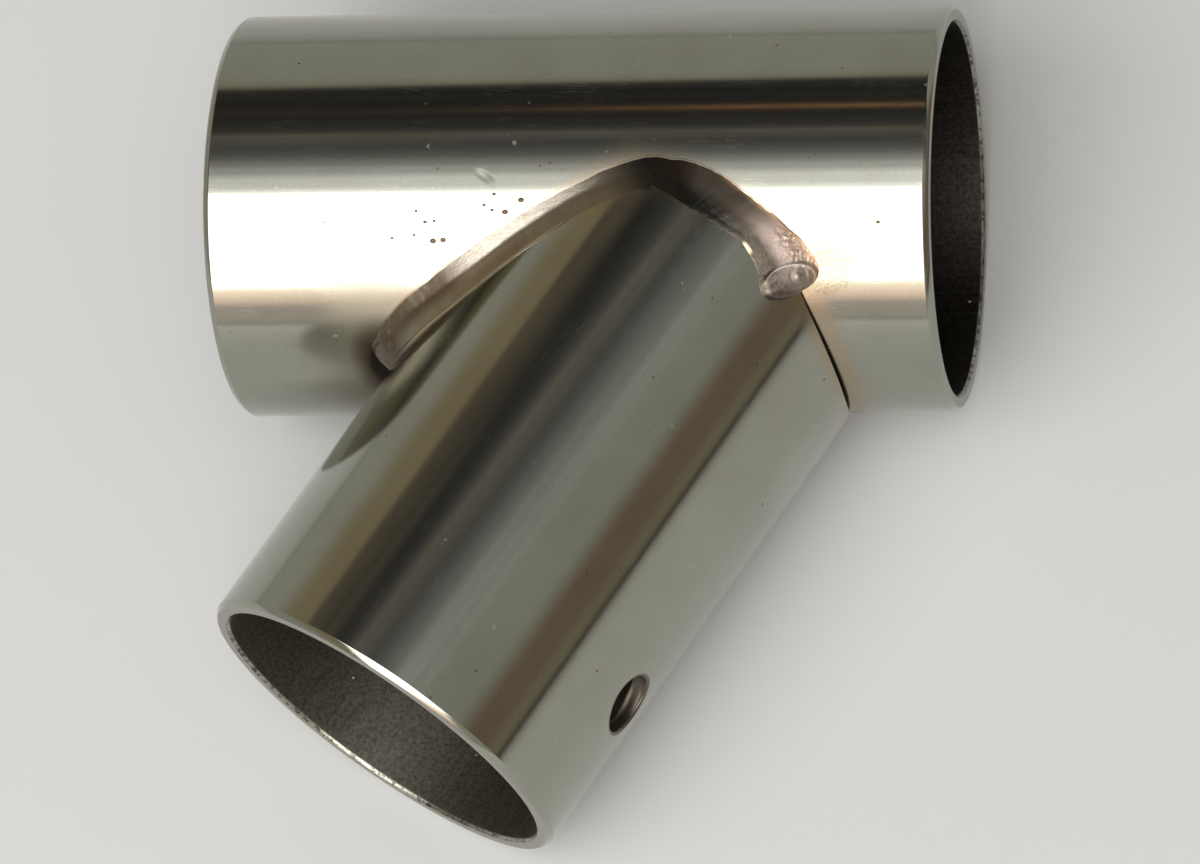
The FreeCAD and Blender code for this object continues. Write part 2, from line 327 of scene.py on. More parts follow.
def ceiling_colour(graph, x, y, z):
    """Dark far back and paler in front, with soft streaks and thin edges across."""
    far_in = {"Fac": (CEILING_EDGE - y).at_least(0.0)}
    fade = graph.add("ShaderNodeValToRGB", {"stops": CEILING_STOPS}, far_in, "Color")
    streak = graph.noise(graph.vector(y * 9.0 + z * 4.0, 0.0, 0.0), 3.0, 2.0, 0.7).step(0.30, 0.70)
    fade = fade * (streak * 0.9 + 0.55) * (x.step(-0.20, -0.05) * 0.45 + 1.0) * 1.75
    left = graph.mix(streak, *LEFT_CEILING)
    colour = graph.mix(x.step(-0.24, -0.36) * 0.9, fade, left)
    colour = graph.mix(x.step(0.24, 0.58) * y.step(0.15, -0.05), colour, RIGHT_CEILING)
    colour = colour * (1.0 - (x - 0.44).size().step(0.10, 0.03) * 0.22)
    for place, half, line_colour, share in (
            (0.235, 0.034, DARK, x.step(-0.25, -0.18) * 0.6),
            (0.318, 0.013, PALE_LINE, 0.9),
            (0.490, 0.010, DARK, x.step(-0.24, -0.34)),
            (0.545, 0.010, left, 0.5),
            (0.548, 0.012, ORANGE_LINE, x.step(-0.21, -0.17) * x.step(0.16, 0.08)),
            (0.575, 0.010, BROWN_LINE, x.step(-0.24, -0.40))):
        line = (y - place).size().step(half + LINE_BLUR, half - LINE_BLUR)
        colour = graph.mix(line * share, colour, line_colour)
    return colour


print("stops of the ceiling's fade:", len(CEILING_STOPS))

# %% [markdown]
# The walls are plain, but two places on them matter. Straight in front and low, the wall glows
# warm from the lamp above it, and the run shows that as a cream band. Far to the right stand a
# shelf and a sill, and the branch's right flank shows them as brown bands.

# %% The room: its walls, and the world itself
WALL = (0.47, 0.47, 0.42, 1.0)
WARM_WALL = (0.36, 0.30, 0.19, 1.0)
SHELF = (0.25, 0.185, 0.135, 1.0)
SILL = (0.29, 0.25, 0.185, 1.0)
GLOW_STOPS = (
    (0.00, (0.74, 0.67, 0.62, 1.0)), (0.33, (0.76, 0.69, 0.65, 1.0)),
    (0.41, (1.50, 1.16, 1.00, 1.0)), (0.50, (1.95, 1.50, 1.30, 1.0)),
    (0.64, (2.50, 2.05, 1.70, 1.0)), (0.80, (2.70, 2.50, 2.10, 1.0)))


def wall_colour(graph, x, y, z):
    warm = x.step(-0.25, -0.55) * z.step(0.22, 0.50) + z.step(0.50, 0.60) * 0.5
    colour = graph.mix(warm.at_most(1.0), WALL, WARM_WALL)
    glow = graph.add("ShaderNodeValToRGB", {"stops": GLOW_STOPS}, {"Fac": z * 2.0}, "Color")
    in_front = y.step(-0.80, -0.90) * x.step(-0.60, -0.45) * x.step(0.15, 0.0)
    return graph.mix(in_front, colour, glow)


def add_shelf_and_sill(graph, colour, x, z):
    right = x.step(0.70, 0.80)
    colour = graph.mix(right * z.step(0.58, 0.38), colour, SHELF)
    colour = graph.mix(right * z.step(0.19, 0.15), colour, SILL)
    return graph.mix(right * (z - 0.01).size().step(0.055, 0.02), colour, DARK)


def make_world():
    world = bpy.data.worlds.new("room")
    world.use_nodes = True
    world.node_tree.nodes.clear()
    graph = Graph(world.node_tree)
    direction = graph.add("ShaderNodeTexCoord", {}, {}, "Generated")
    x, y, z = (direction.part(axis) for axis in "XYZ")
    is_ceiling = (z + x * 0.13).step(0.56, 0.59)
    colour = graph.mix(is_ceiling, wall_colour(graph, x, y, z), ceiling_colour(graph, x, y, z))
    colour = add_shelf_and_sill(graph, colour, x, z)
    sockets = {"Color": colour, "Strength": 1.0}
    background = graph.add("ShaderNodeBackground", {}, sockets, "Background")
    graph.add("ShaderNodeOutputWorld", {}, {"Surface": background})
    bpy.context.scene.world = world


make_world()
print("world nodes:", len(bpy.context.scene.world.node_tree.nodes))

# %% [markdown]
# One large soft light stands low on the camera's side and reaches nearly overhead. It gives
# the clipped white band along the run. An area light is used and not a bright patch of the
# world, because its shadows come out clean with few samples. The floor is pale matt paper,
# and no paler than it is because the polish mirrors it.

# %% Soft light and floor
LIGHT_DISTANCE = 0.60
LIGHT_BELOW, LIGHT_ABOVE = 23.0, 74.5
LIGHT_SIDE = 0.24
LIGHT_WIDTH = 0.57
LIGHT_RADIANCE = 3.3
FLOOR_SIZE = 6.0
FLOOR_COLOUR = (0.56, 0.56, 0.552, 1.0)


def make_light():
    middle = math.radians((LIGHT_BELOW + LIGHT_ABOVE) / 2)
    half = math.radians((LIGHT_ABOVE - LIGHT_BELOW) / 2)
    way = Vector((-LIGHT_SIDE, -math.cos(middle), math.sin(middle))).normalized()
    data = bpy.data.lights.new("soft_light", "AREA")
    data.shape = "RECTANGLE"
    data.size = LIGHT_WIDTH
    data.size_y = 2 * LIGHT_DISTANCE * math.tan(half)
    data.energy = LIGHT_RADIANCE * math.pi * data.size * data.size_y
    light = bpy.data.objects.new("soft_light", data)
    bpy.context.scene.collection.objects.link(light)
    side = Vector((1.0, 0.0, 0.0))
    rise = way.cross(side).normalized()
    light.matrix_world = (
        Matrix.Translation(way * LIGHT_DISTANCE)
        @ Matrix((rise.cross(way), rise, way)).transposed().to_4x4())
    light.visible_camera = False
    return light


def make_floor():
    low = model_box[0].z
    half = FLOOR_SIZE / 2
    corners = [(-half, -half, low), (half, -half, low), (half, half, low), (-half, half, low)]
    mesh = bpy.data.meshes.new("floor")
    mesh.from_pydata(corners, [], [(0, 1, 2, 3)])
    floor = bpy.data.objects.new("floor", mesh)
    bpy.context.scene.collection.objects.link(floor)
    material = bpy.data.materials.new("floor_paper")
    material.use_nodes = True
    material.node_tree.nodes.clear()
    graph = Graph(material.node_tree)
    shader = graph.add("ShaderNodeBsdfDiffuse", {}, {"Color": FLOOR_COLOUR}, "BSDF")
    graph.add("ShaderNodeOutputMaterial", {}, {"Surface": shader})
    mesh.materials.append(material)


make_light()
make_floor()
print("floor at", round(model_box[0].z / MM, 2), "mm")

# %% [markdown]
# Some small marks on the run are placed by where they show in the photograph. A ray from the
# camera through that pixel meets the tube's round outside, so a mark sits on the metal from
# every side.

# %% From a pixel to the tube
def spot_on_run(pixel):
    right = (pixel[0] - IMAGE_WIDTH / 2) / FOCAL_PIXELS
    rise = (IMAGE_HEIGHT / 2 - pixel[1]) / FOCAL_PIXELS
    ray = PICTURE_RIGHT * right + PICTURE_UP * rise - TO_CAMERA
    a = ray.y ** 2 + ray.z ** 2
    b = 2 * (CAMERA_PLACE.y * ray.y + CAMERA_PLACE.z * ray.z)
    c = CAMERA_PLACE.y ** 2 + CAMERA_PLACE.z ** 2 - RUN_RADIUS ** 2
    return CAMERA_PLACE + ray * ((-b - math.sqrt(b * b - 4 * a * c)) / (2 * a))


GOUGE_PIXEL = (485, 177)
BURN_AND_SHADE_PIXEL = (381, 366)
SPATTER_PIXEL = (826, 262)
BIG_SPECK_PIXELS = ((433, 241), (443, 240), (505, 212), (521, 200))
SMALL_SPECK_PIXELS = (
    (416, 211), (434, 221), (425, 222), (392, 238), (414, 235), (494, 194), (484, 205),
    (492, 210), (540, 166), (550, 163), (878, 222))
gouge_place = spot_on_run(GOUGE_PIXEL)
burn_and_shade_place = spot_on_run(BURN_AND_SHADE_PIXEL)
spatter_place = spot_on_run(SPATTER_PIXEL)
speck_places = [spot_on_run(pixel) / MM for pixel in BIG_SPECK_PIXELS + SMALL_SPECK_PIXELS]
print("gouge at", [round(value / MM, 2) for value in gouge_place], "specks:", len(speck_places))

# %% [markdown]
# A metal surface is the sum of what was done to it: ground, polished, heated, knocked. So a
# finish is built up here the same way, in layers. Each layer tints the colour and adds to the
# roughness and the height, and at the end one metal shader takes all three. One long tree
# would look the same, but no step of it could be read or moved by itself. All patterns lie on
# Object coordinates, told in millimetres.

# %% Finishes in layers
def new_material(name):
    material = bpy.data.materials.new(name)
    material.use_nodes = True
    material.node_tree.nodes.clear()
    return material, Graph(material.node_tree)


class Finish:
    def __init__(self, name):
        self.material, self.graph = new_material(name)
        self.place = self.graph.add("ShaderNodeTexCoord", {}, {}, "Object") * (1 / MM)
        self.colour = None
        self.roughness = None
        self.height = None

    def tint(self, mask, colour):
        self.colour = self.graph.mix(mask, self.colour, colour)

    def roughen(self, amount):
        self.roughness = self.roughness + amount

    def raise_by(self, amount):
        self.height = self.height + amount

    def away_from(self, spot):
        """The way from a spot, which is given in metres."""
        return self.place - tuple(value / MM for value in spot)

    def close(self, strength, distance):
        """Joins the layers to one metal shader."""
        bump = {"Height": self.height, "Strength": strength, "Distance": distance}
        normal = self.graph.add("ShaderNodeBump", {}, bump, "Normal")
        sockets = {"Base Color": self.colour, "Roughness": self.roughness, "Metallic": 1.0}
        sockets["Normal"] = normal
        shader = self.graph.add("ShaderNodeBsdfPrincipled", {}, sockets, "BSDF")
        self.graph.add("ShaderNodeOutputMaterial", {}, {"Surface": shader})


print("a finish can:", [name for name in vars(Finish) if not name.startswith("_")])

# %% [markdown]
# Every part of a tube is told from the distance to its axis: the bore, the broken edge, the
# filed ring of the mouth and the polished outside. The polish has a fine grain along the tube,
# a little uneven haze, hairline scratches and small pits. Near the joint the heat of welding
# left it straw-coloured, and patches of painted shade break up the broken edge's highlight. The
# inside is left as the mill drew it: darker, sandy and streaked, and the run's inside is darker
# still as painted shade.

# %% Finish of a tube
POLISHED = (0.355, 0.357, 0.305, 1.0)
HAZED = (0.315, 0.310, 0.262, 1.0)
TINTED = (0.40, 0.27, 0.14, 1.0)
PITTED = (0.10, 0.07, 0.05, 1.0)
SCUFFED = (0.62, 0.62, 0.58, 1.0)
FILED = (0.27, 0.26, 0.22, 1.0)
BROKEN_EDGE_PAINTED_SHADE = (0.060, 0.050, 0.040, 1.0)
FLECKED = (0.55, 0.50, 0.42, 1.0)
DULL_INSIDE = ((0.095, 0.086, 0.069, 1.0), (0.185, 0.168, 0.134, 1.0))
PAINTED_SHADE_INSIDE = ((0.026, 0.022, 0.018, 1.0), (0.060, 0.052, 0.042, 1.0))


def weld_nearness(graph, place):
    """1 at the joint of the two tubes and 0 some way off, from the two axis distances."""
    y, z = place.part("Y"), place.part("Z")
    off_run = ((y * y + z * z).root() - RUN_RADIUS / MM).size()
    down = place.dot(tuple(ALONG))
    off_axis = (place.dot(place) - down * down).root()
    off_branch = (off_axis - BRANCH_RADIUS / MM).size()
    front = down.step(2.0, 6.0)
    return (off_run + off_branch).step(1.5, 0.2) * front


class TubeFinish(Finish):
    def __init__(self, name, along, across, bore, outer):
        super().__init__(name)
        self.length = self.place.dot(tuple(along))
        self.side = self.place.dot(tuple(across))
        self.rise = self.place.part("Z")
        self.across = tuple(across)
        radius = (self.side * self.side + self.rise * self.rise).root()
        bore_mm, break_mm, bevel_mm = bore / MM, (bore + BREAK_CUT) / MM, (outer - RIM_CUT) / MM
        self.inside = radius.step(bore_mm + 0.05, bore_mm + 0.01)
        self.broken = radius.step(bore_mm + 0.01, bore_mm + 0.04) * radius.step(
            break_mm + 0.06, break_mm - 0.02)
        self.ring = radius.step(bore_mm + 0.06, bore_mm + 0.20) * radius.step(
            bevel_mm + 0.10, bevel_mm - 0.10)
        self.cloud = self.graph.noise(self.place, 0.16, 3.0, 0.55)
        spots = {"Vector": self.place, "Scale": 0.62}
        self.cell = self.graph.add("ShaderNodeTexVoronoi", {"feature": "F1"}, spots, "Distance")
        self.chance = self.graph.noise(self.place, 0.62, 0.0, 0.5)

    def polish(self):
        streaked = self.graph.vector(self.length * 0.12, self.side, self.rise)
        grain = self.graph.noise(streaked, 5.0, 4.0, 0.6)
        fine = self.graph.noise(streaked, 26.0, 2.0, 0.6)
        self.colour = self.graph.mix(self.cloud.step(0.35, 0.75) * 0.6, POLISHED, HAZED)
        self.roughness = 0.075 + self.cloud * 0.05 + fine * 0.03
        self.height = grain * 0.35 + fine * 0.12

    def heat(self):
        heat = weld_nearness(self.graph, self.place)
        self.tint(heat * 0.45, TINTED)
        self.roughen(heat * 0.12)

    def wear(self):
        """Pits, dull scuffs, and scratches where a stretched noise crosses its middle value."""
        pit = self.cell.step(0.085, 0.045) * self.chance.step(0.56, 0.64)
        ragged = self.cell + (self.graph.noise(self.place, 3.5, 2.0, 0.6) - 0.5) * 0.35
        scuff = ragged.step(0.12, 0.02) * self.chance.step(0.42, 0.34)
        drawn_out = self.graph.vector(
            self.length * 0.10 + self.side * 0.5, self.side * 1.2, self.rise * 1.2)
        scratch = (self.graph.noise(drawn_out, 2.3, 2.0) - 0.5).size().step(0.006, 0.0015)
        scratch = scratch * self.graph.noise(self.place, 0.35).step(0.50, 0.62)
        self.tint(pit * 0.8, PITTED)
        self.tint(scuff * 0.3, SCUFFED)
        self.roughen(scratch * 0.12 + pit * 0.3 + scuff * 0.25)
        self.raise_by(scratch * -0.8 - pit * 1.6)

    def leave_inside(self, tones):
        streaked = self.graph.vector(self.length * 0.06, self.side, self.rise)
        drawn = self.graph.noise(streaked, 4.5, 4.0, 0.75)
        sandy = self.graph.noise(self.place, 4.0, 2.0, 0.7)
        dull = self.graph.mix((drawn * 0.35 + sandy * 0.65).step(0.34, 0.66), *tones)
        self.tint(self.inside, dull)
        self.roughen(self.inside * (0.30 + drawn * 0.15))
        self.raise_by(self.inside * sandy * 3.0)

    def dress_mouths(self):
        """The ring is filed dull. The broken edge behind it catches light, and patches of painted shade
        on it break that highlight up.
        """
        self.tint(self.ring * 0.8, FILED)
        self.roughen(self.ring * 0.17)
        painted_shade_patches = self.graph.noise(self.place, 2.2, 3.0, 0.7).step(0.50, 0.56) * self.broken
        self.tint(painted_shade_patches * 0.85, BROKEN_EDGE_PAINTED_SHADE)
        self.raise_by(self.graph.noise(self.place, 5.0, 3.0, 0.7) * self.broken * 45.0)

    def mottle(self):
        """Bright flecks inside, then a faint unevenness of tone over everything."""
        self.tint(self.cell.step(0.07, 0.04) * self.chance.step(0.53, 0.57) * self.inside, FLECKED)
        uneven = self.graph.noise(self.place, 5.5, 2.0, 0.7)
        self.colour = self.colour * (0.90 + uneven * 0.20)


def finish_tube(name, along, across, bore, outer, inside_tones):
    steel = TubeFinish(name, along, across, bore, outer)
    steel.polish()
    steel.heat()
    steel.wear()
    steel.leave_inside(inside_tones)
    steel.dress_mouths()
    steel.mottle()
    return steel


# The run's inside takes near-black tones: painted shade deep inside the tube.
run_steel = finish_tube(
    "run_steel", (1.0, 0.0, 0.0), (0.0, 1.0, 0.0), RUN_BORE, RUN_RADIUS, PAINTED_SHADE_INSIDE)
branch_steel = finish_tube(
    "branch_steel", ALONG, OBTUSE, BRANCH_BORE, BRANCH_RADIUS, DULL_INSIDE)
print("layered so far:", run_steel.material.name, branch_steel.material.name)

# %% [markdown]
# This fitting has marks of its own. The torch burnt the run beside the bead's first dab, and a
# painted shadow darkens the crevice at the bead's end there. Fine grains of spatter froze beside
# the last dab, something gouged the polish, and the tap left the wall of the screw hole dull, with
# its colour painted darker as shade in the hole. Each mark is a distance to a spot, so it needs no
# picture and keeps its size from near and far. A noise makes the edges of the first two ragged.

# %% Marks on the tubes
SMOKED = (0.27, 0.23, 0.16, 1.0)
BURNT_AND_SHADED = (0.085, 0.060, 0.040, 1.0)
PAINTED_CREVICE_SHADOW = (0.020, 0.018, 0.015, 1.0)
SPATTER_YELLOW = (0.285, 0.275, 0.19, 1.0)
SPATTER_PINK = (0.27, 0.20, 0.155, 1.0)
TAPPED_AND_SHADED = (0.15, 0.13, 0.105, 1.0)
GOUGE_WAY, GOUGE_SIDE = (0.80, -0.60, 0.0), (0.60, 0.80, 0.0)
HOLE_PLACE = 35.0 * MM
HOLE_RADIUS = 2.1 * MM
HOLE_EDGE = 0.16 * MM


def burn_and_shade(steel, spot):
    away = (steel.away_from(spot) * (1.0, 0.5, 0.5)).length() + (steel.cloud - 0.5) * 2.0
    smoked = away.step(6.0, 1.5)
    steel.tint(smoked * 0.45, SMOKED)
    # The darker middle is partly burnt metal and partly painted shade, and its near-black core is a
    # painted shadow in the crevice at the bead's end.
    steel.tint(away.step(2.5, 1.0) * 0.85, BURNT_AND_SHADED)
    steel.tint(away.step(1.2, 0.6) * 0.9, PAINTED_CREVICE_SHADOW)
    steel.roughen(smoked * 0.20)


def freeze_spatter(steel, spot):
    near = (steel.away_from(spot).length() + (steel.cloud - 0.5) * 2.0).step(2.6, 1.2)
    grains = steel.graph.noise(steel.place, 4.5, 3.0, 0.7)
    steel.tint(near * grains.step(0.44, 0.50), SPATTER_YELLOW)
    steel.tint(near * grains.step(0.54, 0.60), SPATTER_PINK)
    steel.raise_by(near * grains * 10.0)


def gouge(steel, spot):
    away = steel.away_from(spot)
    lengthwise, sideways = away.dot(GOUGE_WAY) * 0.40, away.dot(GOUGE_SIDE) * 0.95
    hollow = steel.graph.vector(lengthwise, sideways, 0.0).length().step(0.42, 0.0)
    steel.raise_by(hollow * -26.0)


def dull_and_shade_hole(steel, centre):
    """Only the side that is drilled: the same distance also holds across the tube."""
    away = steel.away_from(centre)
    beside = away - away.dot(steel.across) * steel.across
    brim = (HOLE_RADIUS + HOLE_EDGE) / MM
    tapped_and_shaded = beside.length().step(brim + 0.16, brim + 0.02) * steel.side.step(0.0, 1.0)
    # Rougher from the tap, and painted darker there as shade inside the hole.
    steel.tint(tapped_and_shaded, TAPPED_AND_SHADED)
    steel.roughen(tapped_and_shaded * 0.22)


burn_and_shade(run_steel, burn_and_shade_place)
freeze_spatter(run_steel, spatter_place)
gouge(run_steel, gouge_place)
dull_and_shade_hole(branch_steel, HOLE_PLACE * ALONG)
for steel in (run_steel, branch_steel):
    steel.close(0.10, 0.01 * MM)
    print(steel.material.name, "nodes:", len(steel.graph.tree.nodes))

# %% [markdown]
# A mirror shows every flaw of a mesh, so the tubes are not cylinders from the menu. Each wall
# is laid out as a grid of exact points, and the grids share their edge points, so the shell is
# closed. Each grid also brings its own exact normals. They are set as custom normals, which
# keeps the polish free of facets and the rims crisp.

# %% Shells made of grids
class Shell:
    """Gathers grids of points, joins equal points, and remembers each corner's normal."""

    def __init__(self):
        self.points = []
        self.known = {}
        self.faces = []
        self.normals = []

    def corner(self, point):
        key = tuple(int(round(value * 1e8)) for value in point)
        if key not in self.known:
            self.known[key] = len(self.points)
            self.points.append(tuple(point))
        return self.known[key]

    def grid(self, points, normals):
        """Rows and columns of points, with the face's outside where the normals point."""
        rows, columns = points.shape[:2]
        names = [[self.corner(points[i, j]) for j in range(columns)] for i in range(rows)]
        facing = np.cross(points[0, 1] - points[0, 0], points[1, 0] - points[0, 0])
        flip = facing @ normals[0, 0] < 0
        for i in range(rows - 1):
            for j in range(columns - 1):
                loop = [(i, j), (i, j + 1), (i + 1, j + 1), (i + 1, j)]
                if flip:
                    loop.reverse()
                face, bent = [], []
                for a, b in loop:
                    if names[a][b] not in face:
                        face.append(names[a][b])
                        bent.append(tuple(normals[a, b]))
                if len(face) > 2:
                    self.faces.append(face)
                    self.normals.extend(bent)

    def finish(self, name, material):
        mesh = bpy.data.meshes.new(name)
        mesh.from_pydata(self.points, [], self.faces)
        mesh.materials.append(material)
        mesh.shade_smooth()
        mesh.normals_split_custom_set(self.normals)
        piece = bpy.data.objects.new(name, mesh)
        bpy.context.scene.collection.objects.link(piece)
        return piece


def unit_rows(vectors):
    return vectors / np.linalg.norm(vectors, axis=-1, keepdims=True)


def worn_corner(depth, cut, way_out, steps=24):
    """Points (along, out) and normals from a tube's wall over its rim to the flat ring.

    The tilt turns quickly near both ends and slowly between them, so the corner is a bevel
    with soft edges. It starts at the wall, at (0, 0), and comes forward by the depth while it
    cuts into the wall's thickness.
    """
    share = np.linspace(0, 1, steps + 1)
    lean = math.atan2(cut, depth)
    turns = np.interp(share, (0, 0.14, 0.86, 1), (0, lean * 0.82, lean * 1.18, math.pi / 2))
    middle = (turns[1:] + turns[:-1]) / 2
    along = np.concatenate(((0,), np.cumsum(np.cos(middle))))
    out = -np.concatenate(((0,), np.cumsum(np.sin(middle))))
    points = np.stack((along * depth / along[-1], out * cut / -out[-1] * way_out), axis=-1)
    return points, np.stack((np.sin(turns), np.cos(turns) * way_out), axis=-1)


def lathe(shell, profile, normals, along, across, angles):
    """Turns a profile of (along, out) about an axis through the origin."""
    around = np.outer(np.cos(angles), UP) + np.outer(np.sin(angles), across)
    points = profile[:, None, 0:1] * along + profile[:, None, 1:2] * around[None]
    bent = normals[:, None, 0:1] * along + normals[:, None, 1:2] * around[None]
    shell.grid(points, bent)


def line_profile(first, last, normal, steps=1):
    share = np.linspace(0, 1, steps + 1)[:, None]
    points = np.array(first) * (1 - share) + np.array(last) * share
    return points, np.tile(np.array(normal, float), (steps + 1, 1))


print("shell maker ready")

# %% [markdown]
# The run is a plain length of tube, cut square at both mouths. Its outer rim is worn to a soft
# bevel by the polishing wheel and its inner rim only broken. Eight small profiles, each turned about X,
# make the closed wall.

# %% Run tube
TURN_STEPS = 288
whole_turn = np.linspace(0, 2 * math.pi, TURN_STEPS + 1)


def mouth_profiles(place, outer, bore, way):
    """The worn rim, the flat ring and the broken inner edge of one mouth."""
    rim = worn_corner(RIM_DEPTH, RIM_CUT, 1)
    inner = worn_corner(BREAK_DEPTH, BREAK_CUT, -1)
    ring = line_profile((0, outer - RIM_CUT), (0, bore + BREAK_CUT), (1, 0))
    for (points, normals), start in (
            (rim, (-RIM_DEPTH, outer)), (ring, (0, 0)), (inner, (-BREAK_DEPTH, bore))):
        points = points + np.array(start)
        points[:, 0] = place + way * points[:, 0]
        yield points, normals * np.array((way, 1))


def make_run_tube():
    shell = Shell()
    along, across = np.array((1.0, 0.0, 0.0)), np.array((0.0, 1.0, 0.0))
    left, right = run_low.x, run_high.x
    outside = line_profile(
        (left + RIM_DEPTH, RUN_RADIUS), (right - RIM_DEPTH, RUN_RADIUS), (0, 1), 60)
    inside = line_profile(
        (left + BREAK_DEPTH, RUN_BORE), (right - BREAK_DEPTH, RUN_BORE), (0, -1), 60)
    parts = [outside, inside]
    parts += list(mouth_profiles(left, RUN_RADIUS, RUN_BORE, -1))
    parts += list(mouth_profiles(right, RUN_RADIUS, RUN_BORE, 1))
    for points, normals in parts:
        lathe(shell, points, normals, along, across, whole_turn)
    return shell.finish("run_tube_polished", run_steel.material)


run_piece = make_run_tube()
print("run tube faces:", len(run_piece.data.polygons))

# %% [markdown]
# The branch ends in a saddle that fits round the run, with a hairline gap that the unwelded
# stretch leaves open. A boolean would cut it, but it would leave a ragged row of slivers that
# the polish shows. The rows of the grid start on the saddle curve instead, which is known
# exactly, and straighten out along the tube. Round the screw hole the grid opens into rings.

# %% Branch tube: where its rows run
GAP_TIGHT, GAP_OPEN = -0.05 * MM, 0.45 * MM
GROUND_BACK = (
    (-16, 0.0), (-12, 1.33), (-10, 1.62), (-8, 2.13), (-6, 2.65), (-4, 3.04), (-2, 3.44), (0, 3.78),
    (2, 4.0), (4, 4.17), (7, 4.25), (10, 4.09), (14, 3.70), (18, 3.32), (22, 2.90), (26, 2.47),
    (30, 2.05), (32, 1.9), (35, 0.0))
STRAIGHT_FROM = 27.0 * MM
HOLE_BLOCK = 11
COPE_ROWS = 30


def radial(angles):
    """Directions about the branch's axis: 0 is up, 90 degrees faces the obtuse corner."""
    return np.cos(angles)[..., None] * UP + np.sin(angles)[..., None] * OBTUSE


def saddle_start(angles, radius):
    """How far along the branch its wall starts, just clear of the run."""
    degrees = np.degrees(np.arctan2(np.sin(angles), np.abs(np.cos(angles))))
    opening = np.clip((degrees - 46) / 44, 0, 1) ** 0.3 + 1.7 * np.clip((-degrees - 73) / 3, 0, 1)
    gap = GAP_TIGHT + (GAP_OPEN - GAP_TIGHT) * opening
    ground = np.interp(degrees, *zip(*GROUND_BACK)) * MM
    spot = radial(angles) * radius
    run_y = -np.sqrt((RUN_RADIUS + gap) ** 2 - spot[..., 2] ** 2)
    return (run_y - spot[..., 1]) / ALONG[1] + ground


branch_turn = np.linspace(-math.pi, math.pi, TURN_STEPS + 1) + math.radians(90)
wrapped_turn = (branch_turn + math.pi) % (2 * math.pi) - math.pi
middle_column = TURN_STEPS // 2
block_columns = slice(middle_column - HOLE_BLOCK, middle_column + HOLE_BLOCK + 1)
block_half = BRANCH_RADIUS * HOLE_BLOCK * 2 * math.pi / TURN_STEPS
print("hole block", round(2 * block_half / MM, 2), "mm square")


def wall_point(radius, angles, lengths):
    return lengths[..., None] * ALONG + radius * radial(angles)


def add_wall(shell, radius, mouth_row, sign):
    """The outside or the inside of the branch, with a square window left for the hole."""
    share = np.linspace(0, 1, COPE_ROWS + 1)[:, None]
    start = saddle_start(wrapped_turn, radius)[None]
    lengths = start * (1 - share) + STRAIGHT_FROM * share
    angles = np.broadcast_to(branch_turn, lengths.shape)
    shell.grid(wall_point(radius, angles, lengths), sign * radial(angles))
    low, high = HOLE_PLACE - block_half, HOLE_PLACE + block_half
    spans = (
        (np.linspace(STRAIGHT_FROM, low, 7), (slice(0, TURN_STEPS + 1),)),
        (np.linspace(low, high, 2 * HOLE_BLOCK + 1),
         (slice(0, middle_column - HOLE_BLOCK + 1), slice(middle_column + HOLE_BLOCK, TURN_STEPS + 1))),
        (np.linspace(high, mouth_row, 9), (slice(0, TURN_STEPS + 1),)),
    )
    for rows, column_sets in spans:
        for columns in column_sets:
            lengths, angles = np.meshgrid(rows, branch_turn[columns], indexing="ij")
            shell.grid(wall_point(radius, angles, lengths), sign * radial(angles))


# %% [markdown]
# The hole for the grub screw is drilled square to the branch and tapped. Its thread has only
# a turn and a half in so thin a wall: a groove that climbs one pitch for each turn, cut into
# the rings of the hole's own grid and faded out at both brims.

# %% Branch tube: screw hole
HOLE_RINGS = 9
THREAD_PITCH = 0.8 * MM
THREAD_DEPTH = 0.06 * MM
THREAD_ROWS = 44


def block_rim():
    """The window's edge, told as angle and length, walked once round in hole order."""
    angles = branch_turn[block_columns]
    lengths = np.linspace(HOLE_PLACE - block_half, HOLE_PLACE + block_half, 2 * HOLE_BLOCK + 1)
    low, high = lengths[0], lengths[-1]
    walk = [(angle, low) for angle in angles[:-1]]
    walk += [(angles[-1], length) for length in lengths[:-1]]
    walk += [(angle, high) for angle in angles[:0:-1]]
    walk += [(angles[0], length) for length in lengths[:0:-1]]
    walk.append(walk[0])
    return np.array(walk)


def hole_turns(rim):
    """The angle round the hole's axis at which each rim point is met."""
    side = BRANCH_RADIUS * (rim[:, 0] - math.pi / 2)
    turns = np.arctan2(rim[:, 1] - HOLE_PLACE, -side)
    return np.unwrap(turns)


def hole_ring(turns, radius, wall_radius):
    """A circle about the hole's axis, laid on a wall of the branch."""
    length = HOLE_PLACE + radius * np.sin(turns)
    rise = radius * np.cos(turns)
    out = np.sqrt(wall_radius ** 2 - rise ** 2)
    return length[..., None] * ALONG + rise[..., None] * UP + out[..., None] * OBTUSE


def add_hole_surround(shell, wall_radius, edge_radius, sign):
    rim = block_rim()
    turns = hole_turns(rim)
    outer = np.stack((rim[:, 1], wall_radius * np.cos(rim[:, 0])), axis=-1)
    inner = np.stack(
        (HOLE_PLACE + edge_radius * np.sin(turns), edge_radius * np.cos(turns)), axis=-1)
    share = (np.linspace(0, 1, HOLE_RINGS + 1) ** 0.75)[:, None, None]
    flat = outer[None] * (1 - share) + inner[None] * share
    out = np.sqrt(wall_radius ** 2 - flat[..., 1] ** 2)
    points = flat[..., :1] * ALONG + flat[..., 1:] * UP + out[..., None] * OBTUSE
    normals = flat[..., 1:] * UP + out[..., None] * OBTUSE
    points[0] = wall_point(wall_radius, rim[:, 0], rim[:, 1])
    shell.grid(points, sign * unit_rows(normals))
    return turns


